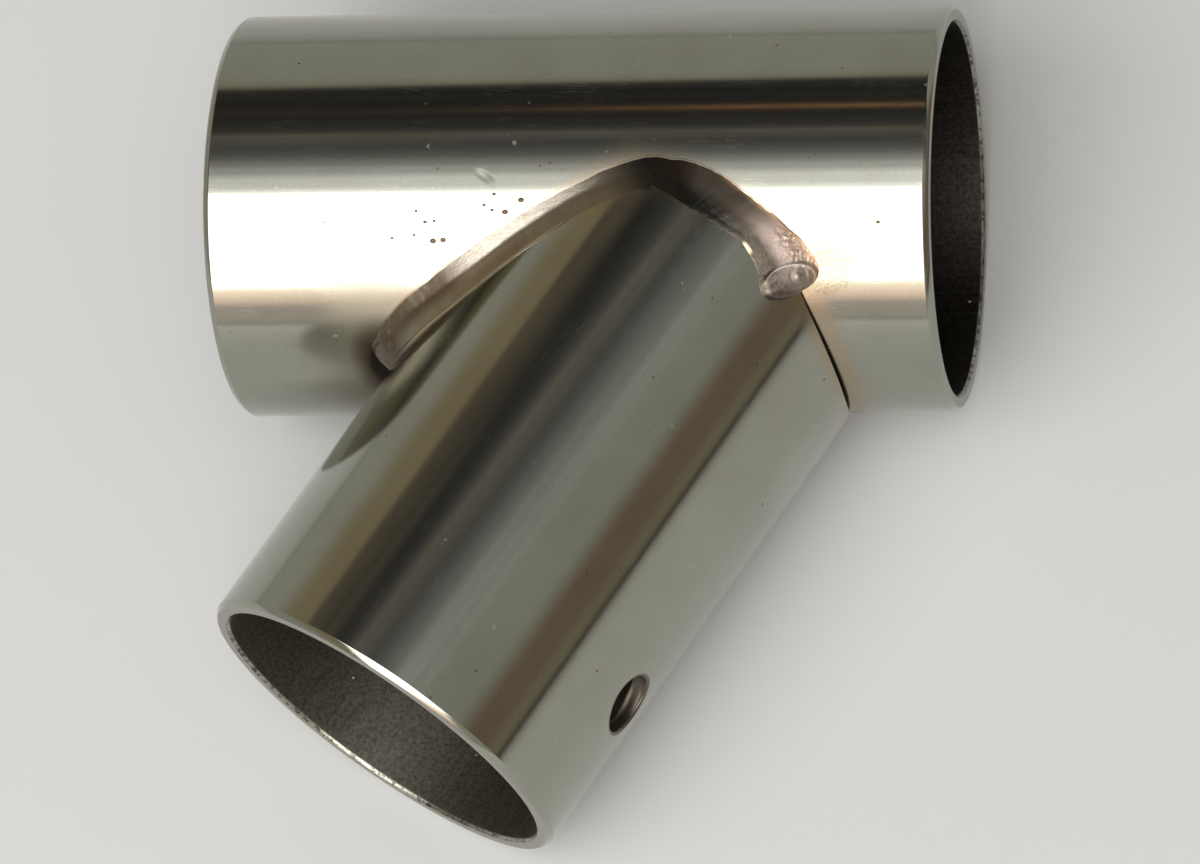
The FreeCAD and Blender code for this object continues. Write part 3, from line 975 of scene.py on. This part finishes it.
def add_hole_wall(shell, turns):
    """From the outer brim to the inner one, with the thread's groove between."""
    share = np.linspace(0, 1, THREAD_ROWS + 1)[:, None]
    top = np.sqrt(BRANCH_RADIUS ** 2 - ((HOLE_RADIUS + HOLE_EDGE) * np.cos(turns)) ** 2)[None]
    bottom = np.sqrt(BRANCH_BORE ** 2 - (HOLE_RADIUS * np.cos(turns)) ** 2)[None]
    out = top * (1 - share) + bottom * share
    depth = top - out
    phase = (out / THREAD_PITCH + turns[None] / (2 * math.pi)) % 1.0
    groove = np.clip(1.25 - np.abs(phase - 0.5) * 3.2, 0, 1)
    fade = np.clip(depth / (0.30 * MM), 0, 1) * np.clip((out - bottom) / (0.22 * MM), 0, 1)
    edge = HOLE_EDGE * np.clip(1 - depth / HOLE_EDGE, 0, 1) ** 1.6
    radius = HOLE_RADIUS + edge + THREAD_DEPTH * groove * fade
    length = HOLE_PLACE + radius * np.sin(turns)[None]
    rise = radius * np.cos(turns)[None]
    points = length[..., None] * ALONG + rise[..., None] * UP + out[..., None] * OBTUSE
    points[0] = hole_ring(turns, HOLE_RADIUS + HOLE_EDGE, BRANCH_RADIUS)
    points[-1] = hole_ring(turns, HOLE_RADIUS, BRANCH_BORE)
    down = np.gradient(points, axis=0)
    padded = np.concatenate((points[:, -2:-1], points, points[:, 1:2]), axis=1)
    around = padded[:, 2:] - padded[:, :-2]
    normals = unit_rows(np.cross(down, around))
    centre = np.array(HOLE_PLACE * ALONG)
    inward = centre + out[..., None] * OBTUSE - points
    if (normals * inward).sum() < 0:
        normals = -normals
    shell.grid(points, normals)


def add_saddle_face(shell):
    """The narrow end face that looks at the run."""
    outer = wall_point(BRANCH_RADIUS, branch_turn, saddle_start(wrapped_turn, BRANCH_RADIUS))
    inner = wall_point(BRANCH_BORE, branch_turn, saddle_start(wrapped_turn, BRANCH_BORE))
    points = np.stack((outer, inner))
    normals = -unit_rows(points * np.array((0.0, 1.0, 1.0)))
    shell.grid(points, normals)


def make_branch_tube():
    shell = Shell()
    add_wall(shell, BRANCH_RADIUS, BRANCH_REACH - RIM_DEPTH, 1)
    add_wall(shell, BRANCH_BORE, BRANCH_REACH - BREAK_DEPTH, -1)
    turns = add_hole_surround(shell, BRANCH_RADIUS, HOLE_RADIUS + HOLE_EDGE, 1)
    add_hole_surround(shell, BRANCH_BORE, HOLE_RADIUS, -1)
    add_hole_wall(shell, turns)
    add_saddle_face(shell)
    for points, normals in mouth_profiles(BRANCH_REACH, BRANCH_RADIUS, BRANCH_BORE, 1):
        lathe(shell, points, normals, ALONG, OBTUSE, branch_turn)
    return shell.finish("branch_tube_polished", branch_steel.material)


branch_piece = make_branch_tube()
print("branch tube faces:", len(branch_piece.data.polygons))

# %% [markdown]
# Welding drops one small pool of metal after another along the seam. The bead follows a rule,
# so Geometry Nodes grows it: a flat grid is bent so that one side runs along the seam and the
# other goes across it, from a toe on the run tube to a toe on the branch. Two drawn curves
# over the angle say how far each toe lies from the seam, and two more give the face its height
# and its ridge. The node tree works in millimetres and is scaled at its very end.

# %% Weld bead: measures in mm
FIRST_ANGLE, LAST_ANGLE = -75.0, 49.0
LENGTH_OF_DEGREE = 0.257
RUN_LEGS = (
    (-75, 1.9), (-70, 2.1), (-62, 2.3), (-50, 1.9), (-30, 1.55), (-18, 1.2), (-10, 0.7),
    (-3, -0.4), (4, -0.8), (12, -0.55), (22, 0.1), (32, 1.0), (40, 1.6), (49, 1.6))
BRANCH_LEGS = (
    (-75, 1.2), (-66, 1.5), (-56, 1.85), (-46, 1.85), (-36, 1.5), (-27, 1.2), (-20, 1.2),
    (-12, 1.9), (-4, 3.7),
    (3, 4.2), (14, 3.75), (24, 2.95), (32, 2.2), (38, 2.3), (44, 2.85), (49, 2.9))
RISES = (
    (-75, 0.02), (-66, -0.15), (-50, -0.26), (-36, -0.25), (-24, -0.17), (-12, -0.03),
    (0, 0.06), (12, 0.12), (24, 0.10), (34, 0.06), (49, 0.05))
RIDGES = (
    (-75, 0.40), (-60, 0.36), (-42, 0.43), (-25, 0.40), (-8, 0.45), (8, 0.55), (24, 0.60), (49, 0.50))
LOWEST, SPAN = -1.0, 6.0
TOE_SINK = 0.02
TOE_OVERRUN = 0.06
ROOT_DEPTH = 0.35
END_LENGTH = 1.25
LAST_DAB = {
    "angle": 44.5, "across": 0.55, "half_across": 2.15, "half_along": 1.25,
    "skew": 0.28, "rise": 0.36, "fall": 2.6}
NEXT_DAB = {
    "angle": 35.0, "across": 0.45, "half_across": 1.9, "half_along": 1.9,
    "skew": 0.0, "rise": 0.13, "fall": 2.2}
FIRST_DAB = {
    "angle": -70.5, "across": -0.5, "half_across": 1.4, "half_along": 1.1,
    "skew": 0.0, "rise": 0.16, "fall": 2.4}
PIP_ACROSS, PIP_ANGLE, PIP_RADIUS = -0.10, 44.2, 0.36
print("length of a bead in mm, roughly:", round((LAST_ANGLE - FIRST_ANGLE) * LENGTH_OF_DEGREE))

# %% [markdown]
# The seam is told as nodes too. A direction about the branch's axis gives a line on its wall,
# and where that line runs into the run tube is the seam. A place near the seam can then be set
# on the skin of either tube, which is how the bead's toes come to sit on them.

# %% Weld bead: the seam
def drawn_curve(graph, share, points):
    """A curve through (angle, size) points, which the curve node keeps between 0 and 1."""
    arc = LAST_ANGLE - FIRST_ANGLE
    scaled = tuple(((angle - FIRST_ANGLE) / arc, (size - LOWEST) / SPAN) for angle, size in points)
    return graph.curve(share, scaled) * SPAN + LOWEST


class Seam:
    """Where the two tubes' outsides meet, told as nodes, for an angle about the branch."""

    def __init__(self, run_radius, branch_radius):
        self.run_radius = run_radius
        self.branch_radius = branch_radius

    def branch_normal(self, turn):
        return turn.cosine() * tuple(UP) + turn.sine() * tuple(OBTUSE)

    def point(self, turn):
        start = self.branch_normal(turn) * self.branch_radius
        height = self.branch_radius * turn.cosine()
        run_y = -(self.run_radius * self.run_radius - height * height).root()
        return start + (run_y - start.part("Y")) / float(ALONG[1]) * tuple(ALONG)

    def to_run(self, place, sink):
        """The nearest place on the run's outside, a little below its skin."""
        flat = place * (0.0, 1.0, 1.0)
        return place * (1.0, 0.0, 0.0) + flat.unit() * (self.run_radius - sink)

    def to_branch(self, place, sink):
        length = place.dot(tuple(ALONG)) * tuple(ALONG)
        return length + (place - length).unit() * (self.branch_radius - sink)


print("a seam can:", [name for name in vars(Seam) if not name.startswith("_")])

# %% [markdown]
# A dab is a frozen pool: a low oval dome. The last one was left when the torch went out, so its
# middle sank, its edge stands up as a lip and a small pip froze last. Each dab is a height over
# the bead's plain face, and a soft maximum melts them together.

# %% Weld bead: heights over its plain face
def plain_height(graph, u, v):
    """A face that stays near the run tube first, turns over a ridge and slopes to the branch."""
    ridge = drawn_curve(graph, u, RIDGES)
    blend = {"Value": v / ridge, "Value_001": (1.0 - v) / (1.0 - ridge), "Value_002": 0.45}
    tent = graph.add("ShaderNodeMath", {"operation": "SMOOTH_MIN"}, blend, "Value")
    return tent * drawn_curve(graph, u, RISES)


def dab_distance(angle, across, dab):
    """0 in the middle of the dab and 1 at its edge."""
    beside = (across - dab["across"]) / dab["half_across"]
    along = (angle - dab["angle"]) * (LENGTH_OF_DEGREE / dab["half_along"]) + beside * dab["skew"]
    return (along * along + beside * beside).root()


def dab_height(angle, across, dab):
    away = dab_distance(angle, across, dab)
    return (1.0 - away.power(dab["fall"])) * dab["rise"]


def crater_height(angle, across, dab):
    """The last dab's lip, its sunken middle, and the pip with a ring round it."""
    away = dab_distance(angle, across, dab)
    toward_run = (dab["angle"] - angle) * 0.18 - (across - dab["across"]) * 0.5
    lip = (away - 0.84).size().step(0.11, 0.0) * toward_run.step(-0.45, 0.25) * 0.05
    sunk = away.step(0.90, 0.40) * 0.12
    along = (angle - PIP_ANGLE) * LENGTH_OF_DEGREE
    beside = across - PIP_ACROSS
    from_pip = (along * along + beside * beside).root()
    pip = from_pip.step(PIP_RADIUS, 0.0) * 0.10
    moat = (from_pip - 0.56).size().step(0.20, 0.0) * 0.02
    return lip - sunk + pip - moat


def bead_height(graph, angle, u, v, across, seed_place):
    last = dab_height(angle, across, LAST_DAB) + crater_height(angle, across, LAST_DAB)
    height = plain_height(graph, u, v)
    left_lip = (v - 0.93).size().step(0.06, 0.0) * angle.step(-21.0, -33.0) * 0.035
    crown_lip = v.step(0.80, 0.92) * angle.step(-14.0, -8.0) * angle.step(34.0, 26.0) * 0.018
    height = height + left_lip + crown_lip
    for pool, softness in (
            (dab_height(angle, across, NEXT_DAB), 0.12),
            (dab_height(angle, across, FIRST_DAB), 0.20), (last, 0.16)):
        height = height.graph.add(
            "ShaderNodeMath", {"operation": "SMOOTH_MAX"},
            {"Value": height, "Value_001": pool, "Value_002": softness}, "Value")
    ripple = (angle * (LENGTH_OF_DEGREE * 7.0) + (v - 0.4) * (v - 0.4) * 9.0).sine() * 0.002
    rough = graph.noise(seed_place, 0.9, 3.0, 0.5) - 0.5
    grit = (graph.noise(seed_place, 3.6, 2.0, 0.6) - 0.5) * angle.step(29.0, 35.0) * v.step(0.45, 0.30)
    lumps = (graph.noise(seed_place, 1.8, 2.0, 0.5) - 0.5) * angle.step(-60.0, -73.0)
    settle = v.step(0.98, 1.05) * 0.05
    return height + ripple + rough * 0.02 + grit * 0.10 + lumps * 0.13 - settle


print("dabs in mm across:", [2 * dab["half_across"] for dab in (FIRST_DAB, NEXT_DAB, LAST_DAB)])

# %% [markdown]
# The bead comes from a node tree and not from loops over its points, so one description serves
# both sides of the fitting and follows any seam. Such a tree takes named inputs, and it ends
# in real, smooth faces in metres.

# %% Weld bead: how a tree begins and ends
def new_tree(name, inputs):
    """A geometry node tree with named inputs, and a wire for each of them."""
    tree = bpy.data.node_groups.new(name, "GeometryNodeTree")
    tree.interface.new_socket("Geometry", in_out="INPUT", socket_type="NodeSocketGeometry")
    for label, kind in inputs.items():
        tree.interface.new_socket(label, in_out="INPUT", socket_type="NodeSocket" + kind)
    tree.interface.new_socket("Geometry", in_out="OUTPUT", socket_type="NodeSocketGeometry")
    graph = Graph(tree)
    entry = graph.add("NodeGroupInput", {}, {})
    wires = {label: Wire(graph, entry.outputs[label]) for label in ("Geometry", *inputs)}
    return graph, wires


def join_parts(graph, parts):
    join = graph.add("GeometryNodeJoinGeometry", {}, {})
    for part in parts:
        graph.tree.links.new(part.socket, join.inputs[0])
    return Wire(graph, join.outputs[0])


def end_tree(graph, geometry, material):
    """What every tree ends in: real faces, smooth, with their material, in metres."""
    geometry = graph.add("GeometryNodeRealizeInstances", {}, {"Geometry": geometry}, "Geometry")
    geometry = graph.add("GeometryNodeSetShadeSmooth", {}, {"Geometry": geometry}, "Geometry")
    geometry = graph.add(
        "GeometryNodeTransform", {}, {"Geometry": geometry, "Scale": (MM, MM, MM)}, "Geometry")
    geometry = graph.add(
        "GeometryNodeSetMaterial", {}, {"Geometry": geometry, "Material": material}, "Geometry")
    graph.add("NodeGroupOutput", {}, {"Geometry": geometry})


print("a tree scales its millimetres by", MM)

# %% [markdown]
# Welding throws small drops that freeze where they land. Each is a sphere, flattened and set on
# a point that the photo gave, so that it stands straight out of the run's wall.

# %% Weld bead: drops of spatter
def add_specks(graph, given, place):
    """Flat little domes on the run, the first few of them bigger."""
    drop = graph.add(
        "GeometryNodeMeshUVSphere", {}, {"Segments": 16, "Rings": 10, "Radius": 1.0}, "Mesh")
    number = graph.add("GeometryNodeInputIndex", {}, {}, "Index")
    is_big = number.step(given["Big specks"], given["Big specks"] - 0.5)
    chance = graph.noise(place, 3.1, 0.0, 0.5)
    size = is_big * 0.09 + chance * 0.11 + 0.03
    outward = (place * (0.0, 1.0, 1.0)).unit()
    turned = graph.add(
        "FunctionNodeAlignRotationToVector", {"axis": "Z"}, {"Vector": outward}, "Rotation")
    sockets = {"Points": given["Geometry"], "Instance": drop, "Rotation": turned}
    sockets["Scale"] = graph.vector(size * 1.25, size, size * 0.35)
    return graph.add("GeometryNodeInstanceOnPoints", {}, sockets, "Instances")


print("drops to set:", len(speck_places), "of them big:", len(BIG_SPECK_PIXELS))

# %% [markdown]
# The tree bends a flat grid along the seam. A point's place on the grid says how far along the
# seam it is and how far it is from the bead's toe on the run to its toe on the branch. Both
# toes lie a leg's length from the seam on the wall of their tube, and the face is lifted off
# the straight line between them. A second, coarse grid becomes the bead's hidden root.

# %% Weld bead: from a flat grid to the seam
FACE_GRID = (720, 64)
ROOT_GRID = (720, 3)
SEAM_STEP = 0.21


def end_size(given, angle):
    """1 along the bead, rounding down to 0 at its two ends."""
    from_first = (angle - given["First angle"]) * (LENGTH_OF_DEGREE / END_LENGTH)
    from_last = (given["Last angle"] - angle) * (LENGTH_OF_DEGREE / END_LENGTH)
    end = 1.0 - from_first.at_most(from_last).at_most(1.0)
    return (1.0 - end * end).at_least(0.0).root()


def leg_lengths(graph, given, angle, u):
    """How far the bead reaches on the run and on the branch, both a little unsteady."""
    waver = graph.vector(angle * 0.12, 0.0, given["Seed"])
    run_leg = drawn_curve(graph, u, RUN_LEGS) + (graph.noise(waver, 1.6) - 0.5) * 0.24
    branch_waver = graph.noise(waver + (0.0, 7.0, 0.0), 1.3) - 0.5
    on_crown = angle.step(-16.0, -12.0) * angle.step(38.0, 32.0)
    branch_leg = drawn_curve(graph, u, BRANCH_LEGS) + branch_waver * (0.30 - on_crown * 0.24)
    return run_leg, branch_leg


def bend_to_seam(graph, given, place):
    """Where a grid point goes, and its place on the bead, which the finish asks for."""
    u, flat_v = place.part("X") + 0.5, place.part("Y") + 0.5
    v = flat_v * (1.0 + 2 * TOE_OVERRUN) - TOE_OVERRUN
    angle = given["First angle"] + (given["Last angle"] - given["First angle"]) * u
    turn = angle * math.radians(1.0)
    seam = Seam(given["Run radius"], given["Branch radius"])
    point = seam.point(turn)
    way = (seam.point(turn + SEAM_STEP) - seam.point(turn - SEAM_STEP)).unit()
    run_normal, branch_normal = (point * (0.0, 1.0, 1.0)).unit(), seam.branch_normal(turn)
    outward = (run_normal + branch_normal).unit()

    size = end_size(given, angle)
    run_leg, branch_leg = leg_lengths(graph, given, angle, u)
    run_way, branch_way = run_normal.cross(way).unit(), way.cross(branch_normal).unit()
    on_run = seam.to_run(point + run_way * (run_leg * size), TOE_SINK)
    on_branch = seam.to_branch(point + branch_way * (branch_leg * size), TOE_SINK)
    across = (branch_leg + run_leg) * size * v - run_leg * size
    seed_place = point + way.cross(run_normal) * v * 3.0 + given["Seed"] * (9.7, 3.1, 5.3)
    height = bead_height(graph, angle, u, v, across, seed_place)
    face = on_run + (on_branch - on_run) * v + outward * (height * size)
    skirt = seam.to_run(on_run + (on_branch - on_run) * v, v.step(-0.06, 0.0) * -0.026 + 0.02)
    face = face + (skirt - face) * v.step(0.012, -0.004)
    face = face + (point - face) * size.step(0.03, 0.0)

    root = point - outward * (size * ROOT_DEPTH)
    is_root = (flat_v - 0.5).size().step(0.3, 0.2) * place.part("Z").step(0.5, 0.9)
    target = face + (root - face) * is_root
    spot = graph.vector(angle, v, dab_distance(angle, across, LAST_DAB))
    return target * graph.vector(1.0, 1.0, given["Side"]), spot


print("points on the bead's face:", FACE_GRID[0] * FACE_GRID[1])

# %% [markdown]
# The whole tree is short: two flat grids, the second lifted so that it can be told from the
# first, then the bend, and a merge that closes the seams between them. Its result is taken out
# once as a plain mesh, because the exported part has to be plain.

# %% Weld bead: the whole tree, and growing it
def flat_grid(graph, shape, lift):
    sockets = {"Size X": 1.0, "Size Y": 1.0, "Vertices X": shape[0], "Vertices Y": shape[1]}
    grid = graph.add("GeometryNodeMeshGrid", {}, sockets, "Mesh")
    sockets = {"Geometry": grid, "Translation": (0.0, 0.0, lift)}
    return graph.add("GeometryNodeTransform", {}, sockets, "Geometry")


def make_bead_tree():
    inputs = {name: "Float" for name in (
        "Run radius", "Branch radius", "First angle", "Last angle", "Side", "Seed", "Big specks")}
    graph, given = new_tree("weld_bead", {**inputs, "Material": "Material"})
    place = graph.add("GeometryNodeInputPosition", {}, {}, "Position")
    target, spot = bend_to_seam(graph, given, place)
    grids = flat_grid(graph, FACE_GRID, 0.0), flat_grid(graph, ROOT_GRID, 1.0)
    bead = join_parts(graph, grids)
    bead = graph.add(
        "GeometryNodeStoreNamedAttribute", {"data_type": "FLOAT_VECTOR", "domain": "POINT"},
        {"Geometry": bead, "Name": "bead_place", "Value": spot}, "Geometry")
    bead = graph.add(
        "GeometryNodeSetPosition", {}, {"Geometry": bead, "Position": target}, "Geometry")
    bead = graph.add(
        "GeometryNodeMergeByDistance", {}, {"Geometry": bead, "Distance": 0.0005}, "Geometry")
    both = join_parts(graph, (bead, add_specks(graph, given, place)))
    end_tree(graph, both, given["Material"])
    return graph.tree


def grow(name, tree, values, points=()):
    """Runs a node tree once and keeps what it made as a plain mesh with its normals outward."""
    seed_mesh = bpy.data.meshes.new(name)
    seed_mesh.from_pydata([tuple(point) for point in points], [], [])
    piece = bpy.data.objects.new(name, seed_mesh)
    bpy.context.scene.collection.objects.link(piece)
    modifier = piece.modifiers.new("grow", "NODES")
    modifier.node_group = tree
    for item in tree.interface.items_tree:
        if item.item_type == "SOCKET" and item.in_out == "INPUT" and item.name in values:
            modifier[item.identifier] = values[item.name]
    grown = bpy.data.meshes.new_from_object(
        piece.evaluated_get(bpy.context.evaluated_depsgraph_get()))
    piece.modifiers.clear()
    piece.data = grown
    tidy = bmesh.new()
    tidy.from_mesh(grown)
    bmesh.ops.recalc_face_normals(tidy, faces=tidy.faces)
    tidy.to_mesh(grown)
    tidy.free()
    return piece


bead_tree = make_bead_tree()
print("nodes in the bead's tree:", len(bead_tree.nodes))

# %% [markdown]
# The weld metal is duller than the tubes, and its tone changes along the bead: partly as the
# heat tinted it, and partly as painted light and shade, light and near-black bands that stand in
# for what the polished bead reflects. The node tree stored each point's place on the bead, so
# the tones can be told by angle here, one row for the branch's side and one for the run's.

# %% Weld metal: tones and painted light and shade along the bead
# Both rows are partly heat tint and partly painted light and shade.
BRANCH_SIDE_TINT_AND_SHADE = (
    (-75, (0.10, 0.085, 0.068, 1.0)), (-66, (0.12, 0.105, 0.080, 1.0)),
    (-60, (0.32, 0.28, 0.21, 1.0)), (-36, (0.36, 0.31, 0.24, 1.0)),
    (-27, (0.54, 0.48, 0.38, 1.0)), (-17, (0.56, 0.50, 0.38, 1.0)),
    (-11, (0.15, 0.155, 0.125, 1.0)), (-4, (0.080, 0.092, 0.075, 1.0)),
    (21, (0.065, 0.065, 0.054, 1.0)), (28, (0.075, 0.066, 0.054, 1.0)),
    (49, (0.056, 0.048, 0.038, 1.0)))
RUN_SIDE_TINT_AND_SHADE = (
    (-75, (0.13, 0.105, 0.080, 1.0)), (-60, (0.17, 0.140, 0.105, 1.0)),
    (-48, (0.22, 0.180, 0.135, 1.0)), (-43, (0.56, 0.50, 0.42, 1.0)),
    (-17, (0.50, 0.45, 0.36, 1.0)), (-11, (0.12, 0.12, 0.100, 1.0)),
    (-5, (0.095, 0.10, 0.083, 1.0)), (2, (0.28, 0.26, 0.21, 1.0)),
    (24, (0.27, 0.22, 0.170, 1.0)), (32, (0.58, 0.46, 0.40, 1.0)),
    (42, (0.50, 0.42, 0.36, 1.0)), (49, (0.36, 0.31, 0.27, 1.0)))


def colour_by_angle(graph, angle, tones):
    arc = LAST_ANGLE - FIRST_ANGLE
    stops = tuple(((place - FIRST_ANGLE) / arc, tone) for place, tone in tones)
    sockets = {"Fac": (angle - FIRST_ANGLE) / arc}
    return graph.add("ShaderNodeValToRGB", {"stops": stops}, sockets, "Color")


print("tones on the branch's side and the run's:", len(BRANCH_SIDE_TINT_AND_SHADE), len(RUN_SIDE_TINT_AND_SHADE))

# %% [markdown]
# On top of these tones come the marks of the work: red and yellow grains by the last dabs, the
# frozen pool, the copper toe, a dark edge along the toes and brown drops. Three painted
# highlights come with them: a bright colour on the pool's lip, a pale line along the branch's
# toe and a warm glint on the branch's toe by the last dabs.

# %% Weld metal in layers
WELD_RED = (0.40, 0.26, 0.19, 1.0)
WELD_YELLOW = (0.80, 0.70, 0.50, 1.0)
CRATER_BROWN = (0.13, 0.11, 0.088, 1.0)
CRATER_PINK = (0.27, 0.22, 0.19, 1.0)
PAINTED_LIP_HIGHLIGHT = (0.86, 0.76, 0.68, 1.0)
TOE_COPPER = (0.66, 0.42, 0.27, 1.0)
PAINTED_TOE_HIGHLIGHT = (0.62, 0.53, 0.38, 1.0)
EDGE_TINT = (0.17, 0.092, 0.048, 1.0)
PAINTED_GLINT = (0.80, 0.58, 0.38, 1.0)
SPECK_BROWN = (0.13, 0.080, 0.048, 1.0)
GLINT_ANGLE, GLINT_V = 31.8, 0.955


class WeldFinish(Finish):
    def __init__(self, name):
        super().__init__(name)
        spot = self.graph.add("ShaderNodeAttribute", {"attribute_name": "bead_place"}, {}, "Vector")
        self.angle, self.v, self.dab = (spot.part(axis) for axis in "XYZ")
        self.cloud = self.graph.noise(self.place, 0.8, 4.0, 0.6)
        self.speckle = self.graph.noise(self.place, 5.5, 3.0, 0.7)

    def lay_metal(self):
        graph, angle, v, cloud, speckle = self.graph, self.angle, self.v, self.cloud, self.speckle
        right = angle.step(-4.0, 6.0)
        across = v + (cloud - 0.5) * 0.15
        left_share, right_share = across.step(0.40, 0.72), across.step(0.38, 0.70)
        branch_share = left_share + (right_share - left_share) * right
        run_tone_and_shade = colour_by_angle(graph, angle, RUN_SIDE_TINT_AND_SHADE)
        self.colour = graph.mix(branch_share, run_tone_and_shade, colour_by_angle(graph, angle, BRANCH_SIDE_TINT_AND_SHADE))
        matte = right * v.step(0.75, 0.5) * 0.14 + angle.step(18.0, 29.0) * 0.16
        self.roughness = 0.13 + cloud * 0.08 + speckle * 0.05 + matte + angle.step(-14.0, -22.0) * 0.06
        grain = graph.noise(self.place, 9.0, 3.0, 0.6)
        self.height = grain + speckle * (1.5 + angle.step(29.0, 36.0) * 2.0)

    def grain_by_dabs(self):
        by_dabs = self.angle.step(30.0, 35.0) * self.v.step(0.52, 0.25)
        self.tint(self.speckle.step(0.46, 0.54) * (by_dabs * 0.80 + 0.10), WELD_RED)
        self.tint(self.speckle.step(0.44, 0.38) * by_dabs * 0.6, WELD_YELLOW)

    def freeze_pool(self):
        self.tint(self.dab.step(0.90, 0.78) * 0.4, CRATER_BROWN)
        blotch = self.graph.noise(self.place, 2.6, 2.0, 0.6).step(0.40, 0.62)
        self.tint(blotch * self.dab.step(0.95, 0.85) * 0.45, CRATER_PINK)
        # The lip's bright colour is a painted highlight.
        lip = (self.dab - 0.86).size().step(0.09, 0.02) * self.v.step(0.85, 0.55)
        self.tint(lip * 0.9, PAINTED_LIP_HIGHLIGHT)

    def tint_and_highlight_toes(self):
        angle, v = self.angle, self.v
        copper = v.step(0.11, 0.06) * angle.step(7.0, 15.0)
        self.tint(copper * (self.cloud + 0.4).at_most(1.0), TOE_COPPER)
        # The pale line along the branch's toe on the left half is a painted highlight.
        toe_highlight_arc = angle.step(-62.0, -57.0) * angle.step(-21.0, -30.0)
        self.tint((v - 0.93).size().step(0.05, 0.02) * toe_highlight_arc * 0.7, PAINTED_TOE_HIGHLIGHT)
        run_edge = v.step(0.03, 0.0) * (self.cloud + 0.35)
        branch_edge = v.step(0.97, 1.0) * angle.step(-14.0, -2.0) * 0.5
        self.tint((run_edge + branch_edge).at_most(1.0) * 0.85, EDGE_TINT)

    def paint_glint(self):
        # A small warm-white spot on the branch's toe: a painted glint.
        along = (self.angle - GLINT_ANGLE).size().step(2.3, 0.6)
        self.tint(along * (self.v - GLINT_V).size().step(0.065, 0.015), PAINTED_GLINT)

    def brown_drops(self):
        """No place on the bead is stored on a drop, so all of it reads as zero there."""
        is_drop = self.dab.step(0.002, 0.0)
        self.tint(is_drop, SPECK_BROWN)
        self.roughen(is_drop * 0.25)


weld_steel = WeldFinish("weld_steel")
weld_steel.lay_metal()
weld_steel.grain_by_dabs()
weld_steel.freeze_pool()
weld_steel.tint_and_highlight_toes()
weld_steel.paint_glint()
weld_steel.brown_drops()
weld_steel.close(0.22, 0.02 * MM)
print("nodes in the weld's finish:", len(weld_steel.graph.tree.nodes))

# %% [markdown]
# Both beads grow from the one tree. The one below has its side turned over and another seed, so
# that it isn't an exact mirror, and it has no drops, because nothing shows where they would be.

# %% Both beads
bead_values = {
    "Run radius": RUN_RADIUS / MM, "Branch radius": BRANCH_RADIUS / MM,
    "First angle": FIRST_ANGLE, "Last angle": LAST_ANGLE, "Material": weld_steel.material,
    "Big specks": float(len(BIG_SPECK_PIXELS))}
welds = {}
for node, side, seed, spatter in (
        ("weld_upper", 1.0, 3.0, speck_places), ("weld_lower", -1.0, 11.0, ())):
    values = {**bead_values, "Side": side, "Seed": seed}
    welds[node] = grow(node + "_bead", bead_tree, values, spatter)
    print(node, "faces:", len(welds[node].data.polygons))

# %% [markdown]
# Each finished piece now rides on the one body and takes the place of its plain solid. An open
# edge would show as a dark slit in the export, so the pieces are counted for them.

# %% Put the finished pieces in place of the plain ones
def put_in_place(piece, node):
    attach(piece, "root")
    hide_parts(node)
    check_mesh = bmesh.new()
    check_mesh.from_mesh(piece.data)
    print(piece.name, "open edges:", sum(edge.is_boundary for edge in check_mesh.edges))
    check_mesh.free()


put_in_place(run_piece, "run_tube")
put_in_place(branch_piece, "branch_tube")
for node, piece in welds.items():
    put_in_place(piece, node)

# %% [markdown]
